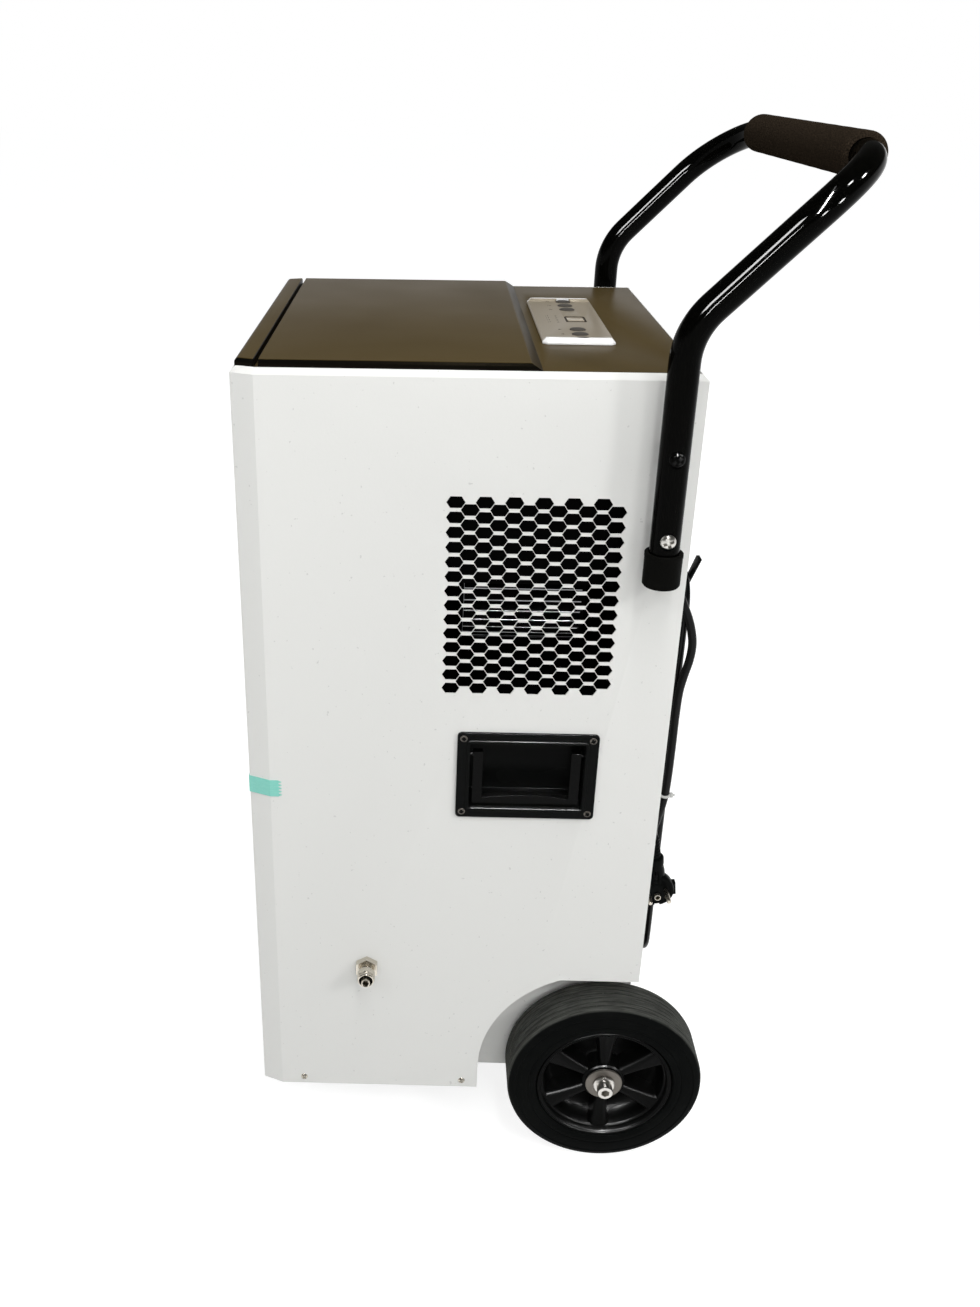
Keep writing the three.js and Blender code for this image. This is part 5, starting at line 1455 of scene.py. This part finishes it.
for step in range(BLADES):
    blade = copy(first, "blade")
    centre = Matrix.Translation(spot(FAN_X, 0, FAN_Z))
    blade.matrix_world = centre @ Matrix.Rotation(-math.radians(FIRST_BLADE + 360 * step / BLADES), 4, "Y") @ centre.inverted()
    fix_place(blade)
    cage.append(blade)
bpy.data.objects.remove(first)
cage = join(*cage)
smooth(cage, 30)
fan_metal = fan_sheet(spot(FAN_X, (FAN_FRONT + FAN_REAR) / 2, FAN_Z), FAN_RADIUS * MM, 0.054)
install(cage, "fan_wheel", "galvanised", fan_metal, "impeller")
shows_lamps.objects.link(cage)

# %% Motor, compressor and pipes
for node, name, slot, paint, width in (
        ("fan_motor", "blower_motor", "black_paint", black_plastic, 1.5),
        ("compressor", "compressor_shell", "black_paint", black_plastic, 2.5)):
    shell = traced(node, name)
    soften(shell, width, 3, 25)
    install(shell, "chassis", slot, paint, node)
for node, name, slot, paint in (
        ("refrigerant_pipe", "discharge_pipe", "copper", copper), ("drain_hose", "inner_drain_hose", "rubber", cap_rubber)):
    pipe = traced(node, name)
    modify(pipe, "SUBSURF", levels=1, render_levels=1)
    smooth(pipe, 60)
    install(pipe, "chassis", slot, paint, node)

# %% [markdown]
# ## Transit tape
#
# A strip of thin green film still holds the front panel from the factory. It wraps the front corner, and its end
# on the side is torn off in a ragged line.

# %% Tape
strip = traced("transit_tape", "green_tape_strip")
smooth(strip, 40)
install(strip, "chassis", "tape", tape_film, "transit_tape")

# %% [markdown]
# ## Hooks, gland and plug
#
# Two curved saddles carry the wound cord, each with a tongue that keeps the turns from slipping off. The gland turns
# the cord upwards as it leaves the cabinet, so that it is never bent sharply. The plug is a round moulding with
# ribs where the cord enters, and two pins.

# %% Hooks
for level in ("lower", "upper"):
    hook = traced(f"cord_hook_{level}", f"winding_hook_{level}")
    soften(hook, 0.9, 3, 35)
    install(hook, "chassis", "black_plastic", black_plastic, f"cord_hook_{level}")

# %% Gland and boot
through_wall = spun("cord_gland_elbow", "y", spot(GLAND_X, 0, GLAND_Z), [
    (0, 172.5), (6.5, 172.5), (6.5, 182.3), (11.2, 182.3), (12, 183), (12, 185.8), (11.2, 186.3), (9, 187.3),
    (9, 193.3), (0, 193.3)], 40)
ribs = []
for step in range(6):
    z = 13 + step * 3.4
    ribs += [(8.2 - step * 0.42, z), (8.2 - step * 0.42, z + 1.9), (7.0 - step * 0.36, z + 2.2), (7.0 - step * 0.36, z + 3.2)]
boot = spun("boot", "z", spot(GLAND_X, BOOT_BACK, GLAND_Z), [
    (0, -9), (7, -9), (8.6, -8.2), (9, -7), (9, 10)] + ribs + [(5.6, 33.4), (5.2, 34), (4.15, 34), (0, 33.6)], 40)
modify(through_wall, "BOOLEAN", object=boot, operation="UNION", solver="EXACT")
bpy.data.objects.remove(boot)
smooth(through_wall, 35)
install(through_wall, "chassis", "black_plastic", black_plastic, "cord_gland")

# %% Plug
def lean(piece):
    """Leans a part of the plug away from the cabinet."""
    centre = Matrix.Translation(spot(*PLUG))
    piece.matrix_world = centre @ Matrix.Rotation(PLUG_LEAN, 4, "X") @ centre.inverted()
    fix_place(piece)
    return piece


def bar_at(name, u, v, w, width, depth, height):
    """A rounded bar placed from the middle of the plug."""
    bar = slab(name, "z", rounded_box_outline(PLUG[0] + u, PLUG[1] + v, width, depth, min(width, depth) * 0.2, 2),
        PLUG[2] + w - height / 2, PLUG[2] + w + height / 2)
    return bar


body = spun("mains_plug", "x", spot(*PLUG), [
    (0, -8), (11.5, -8), (14, -7.2), (16.8, -4.4), (18, -1.6), (18.4, 0.6), (18.4, 7.4), (17.8, 9), (16.4, 9.8),
    (14.8, 9.8), (14.4, 9), (0, 9)], 72)
plug_ribs = []
for step in range(6):
    z, radius = 40 + step * 3.7, 6.9 - step * 0.26
    plug_ribs += [(radius - 1.1, z), (radius, z + 0.5), (radius, z + 2.1), (radius - 1.1, z + 2.6)]
neck = spun("neck", "z", spot(*PLUG), [
    (0, 4), (10.2, 6), (10.4, 15), (10.2, 21), (9.2, 27), (9, 29.4), (9.7, 30.2), (9.7, 37), (9, 38.2),
    (6.2, 38.8)] + plug_ribs + [(5, 62.6), (4.6, 64), (0, 64)], 48)
wings = [bar_at("wing", 1, side * 18.6, -2, 7, 4, 15) for side in (-1, 1)]
for wing in wings:
    soften(wing, 0.7, 2)
for part in [neck] + wings:
    modify(body, "BOOLEAN", object=part, operation="UNION", solver="EXACT")
    bpy.data.objects.remove(part)
slots = [bar_at("slot", 4, 0, side * 18, 13, 5.4, 6) for side in (-1, 1)]
EARTH = spot(PLUG[0], PLUG[1] + 0.5, PLUG[2] - 6)
earth = spun("earth", "x", EARTH, [(0, 3), (3.6, 3), (3.6, 12), (0, 12)], 24)
carve(body, earth, *slots)
smooth(body, 32)
install(lean(body), "chassis", "black_plastic", black_plastic, "power_plug")

pins = []
for side in (-1, 1):
    pins.append(spun("pin", "x", spot(PLUG[0], PLUG[1] + side * 9.5, PLUG[2]), [
        (0, 8), (2.4, 8), (2.4, 27.2), (2.1, 28.3), (1.5, 29), (0, 29)], 28))
    clip = bar_at("clip", 4, 0, side * 15.4, 11, 4.4, 0.8)
    soften(clip, 0.25, 2)
    pins.append(clip)
pins.append(spun("earth_socket", "x", EARTH, [
    (2.3, 4), (3.5, 4), (3.5, 12.2), (3.2, 12.8), (2.6, 12.8), (2.3, 12.2)], 28, closed=True))
pins = join(*pins)
pins.name = "plug_pins"
smooth(pins, 35)
install(lean(pins), "chassis", "steel", nickel)

# %% Cord tie
TIE = min(route[-60:], key=lambda p: abs(p.z - 0.392))
tie = spun("cord_tie", "z", TIE, [
    (4.2, -1.3), (5.2, -1.3), (5.4, -1.0), (5.4, 1.0), (5.2, 1.3), (4.2, 1.3)], 32, closed=True)
lock = slab("lock", "z", rounded_box_outline(TIE.x / MM, TIE.y / MM - SHIFT + 6.4, 4.4, 3.4, 0.5, 2), TIE.z / MM - 1.9, TIE.z / MM + 1.9)
end = slab("end", "z", rounded_box_outline(TIE.x / MM, TIE.y / MM - SHIFT + 8.6, 0.9, 3, 0.3, 2), TIE.z / MM - 0.9, TIE.z / MM + 0.9)
soften(lock, 0.3, 2)
tie = join(tie, lock, end)
smooth(tie, 40)
install(tie, "chassis", "tape", tie_plastic)
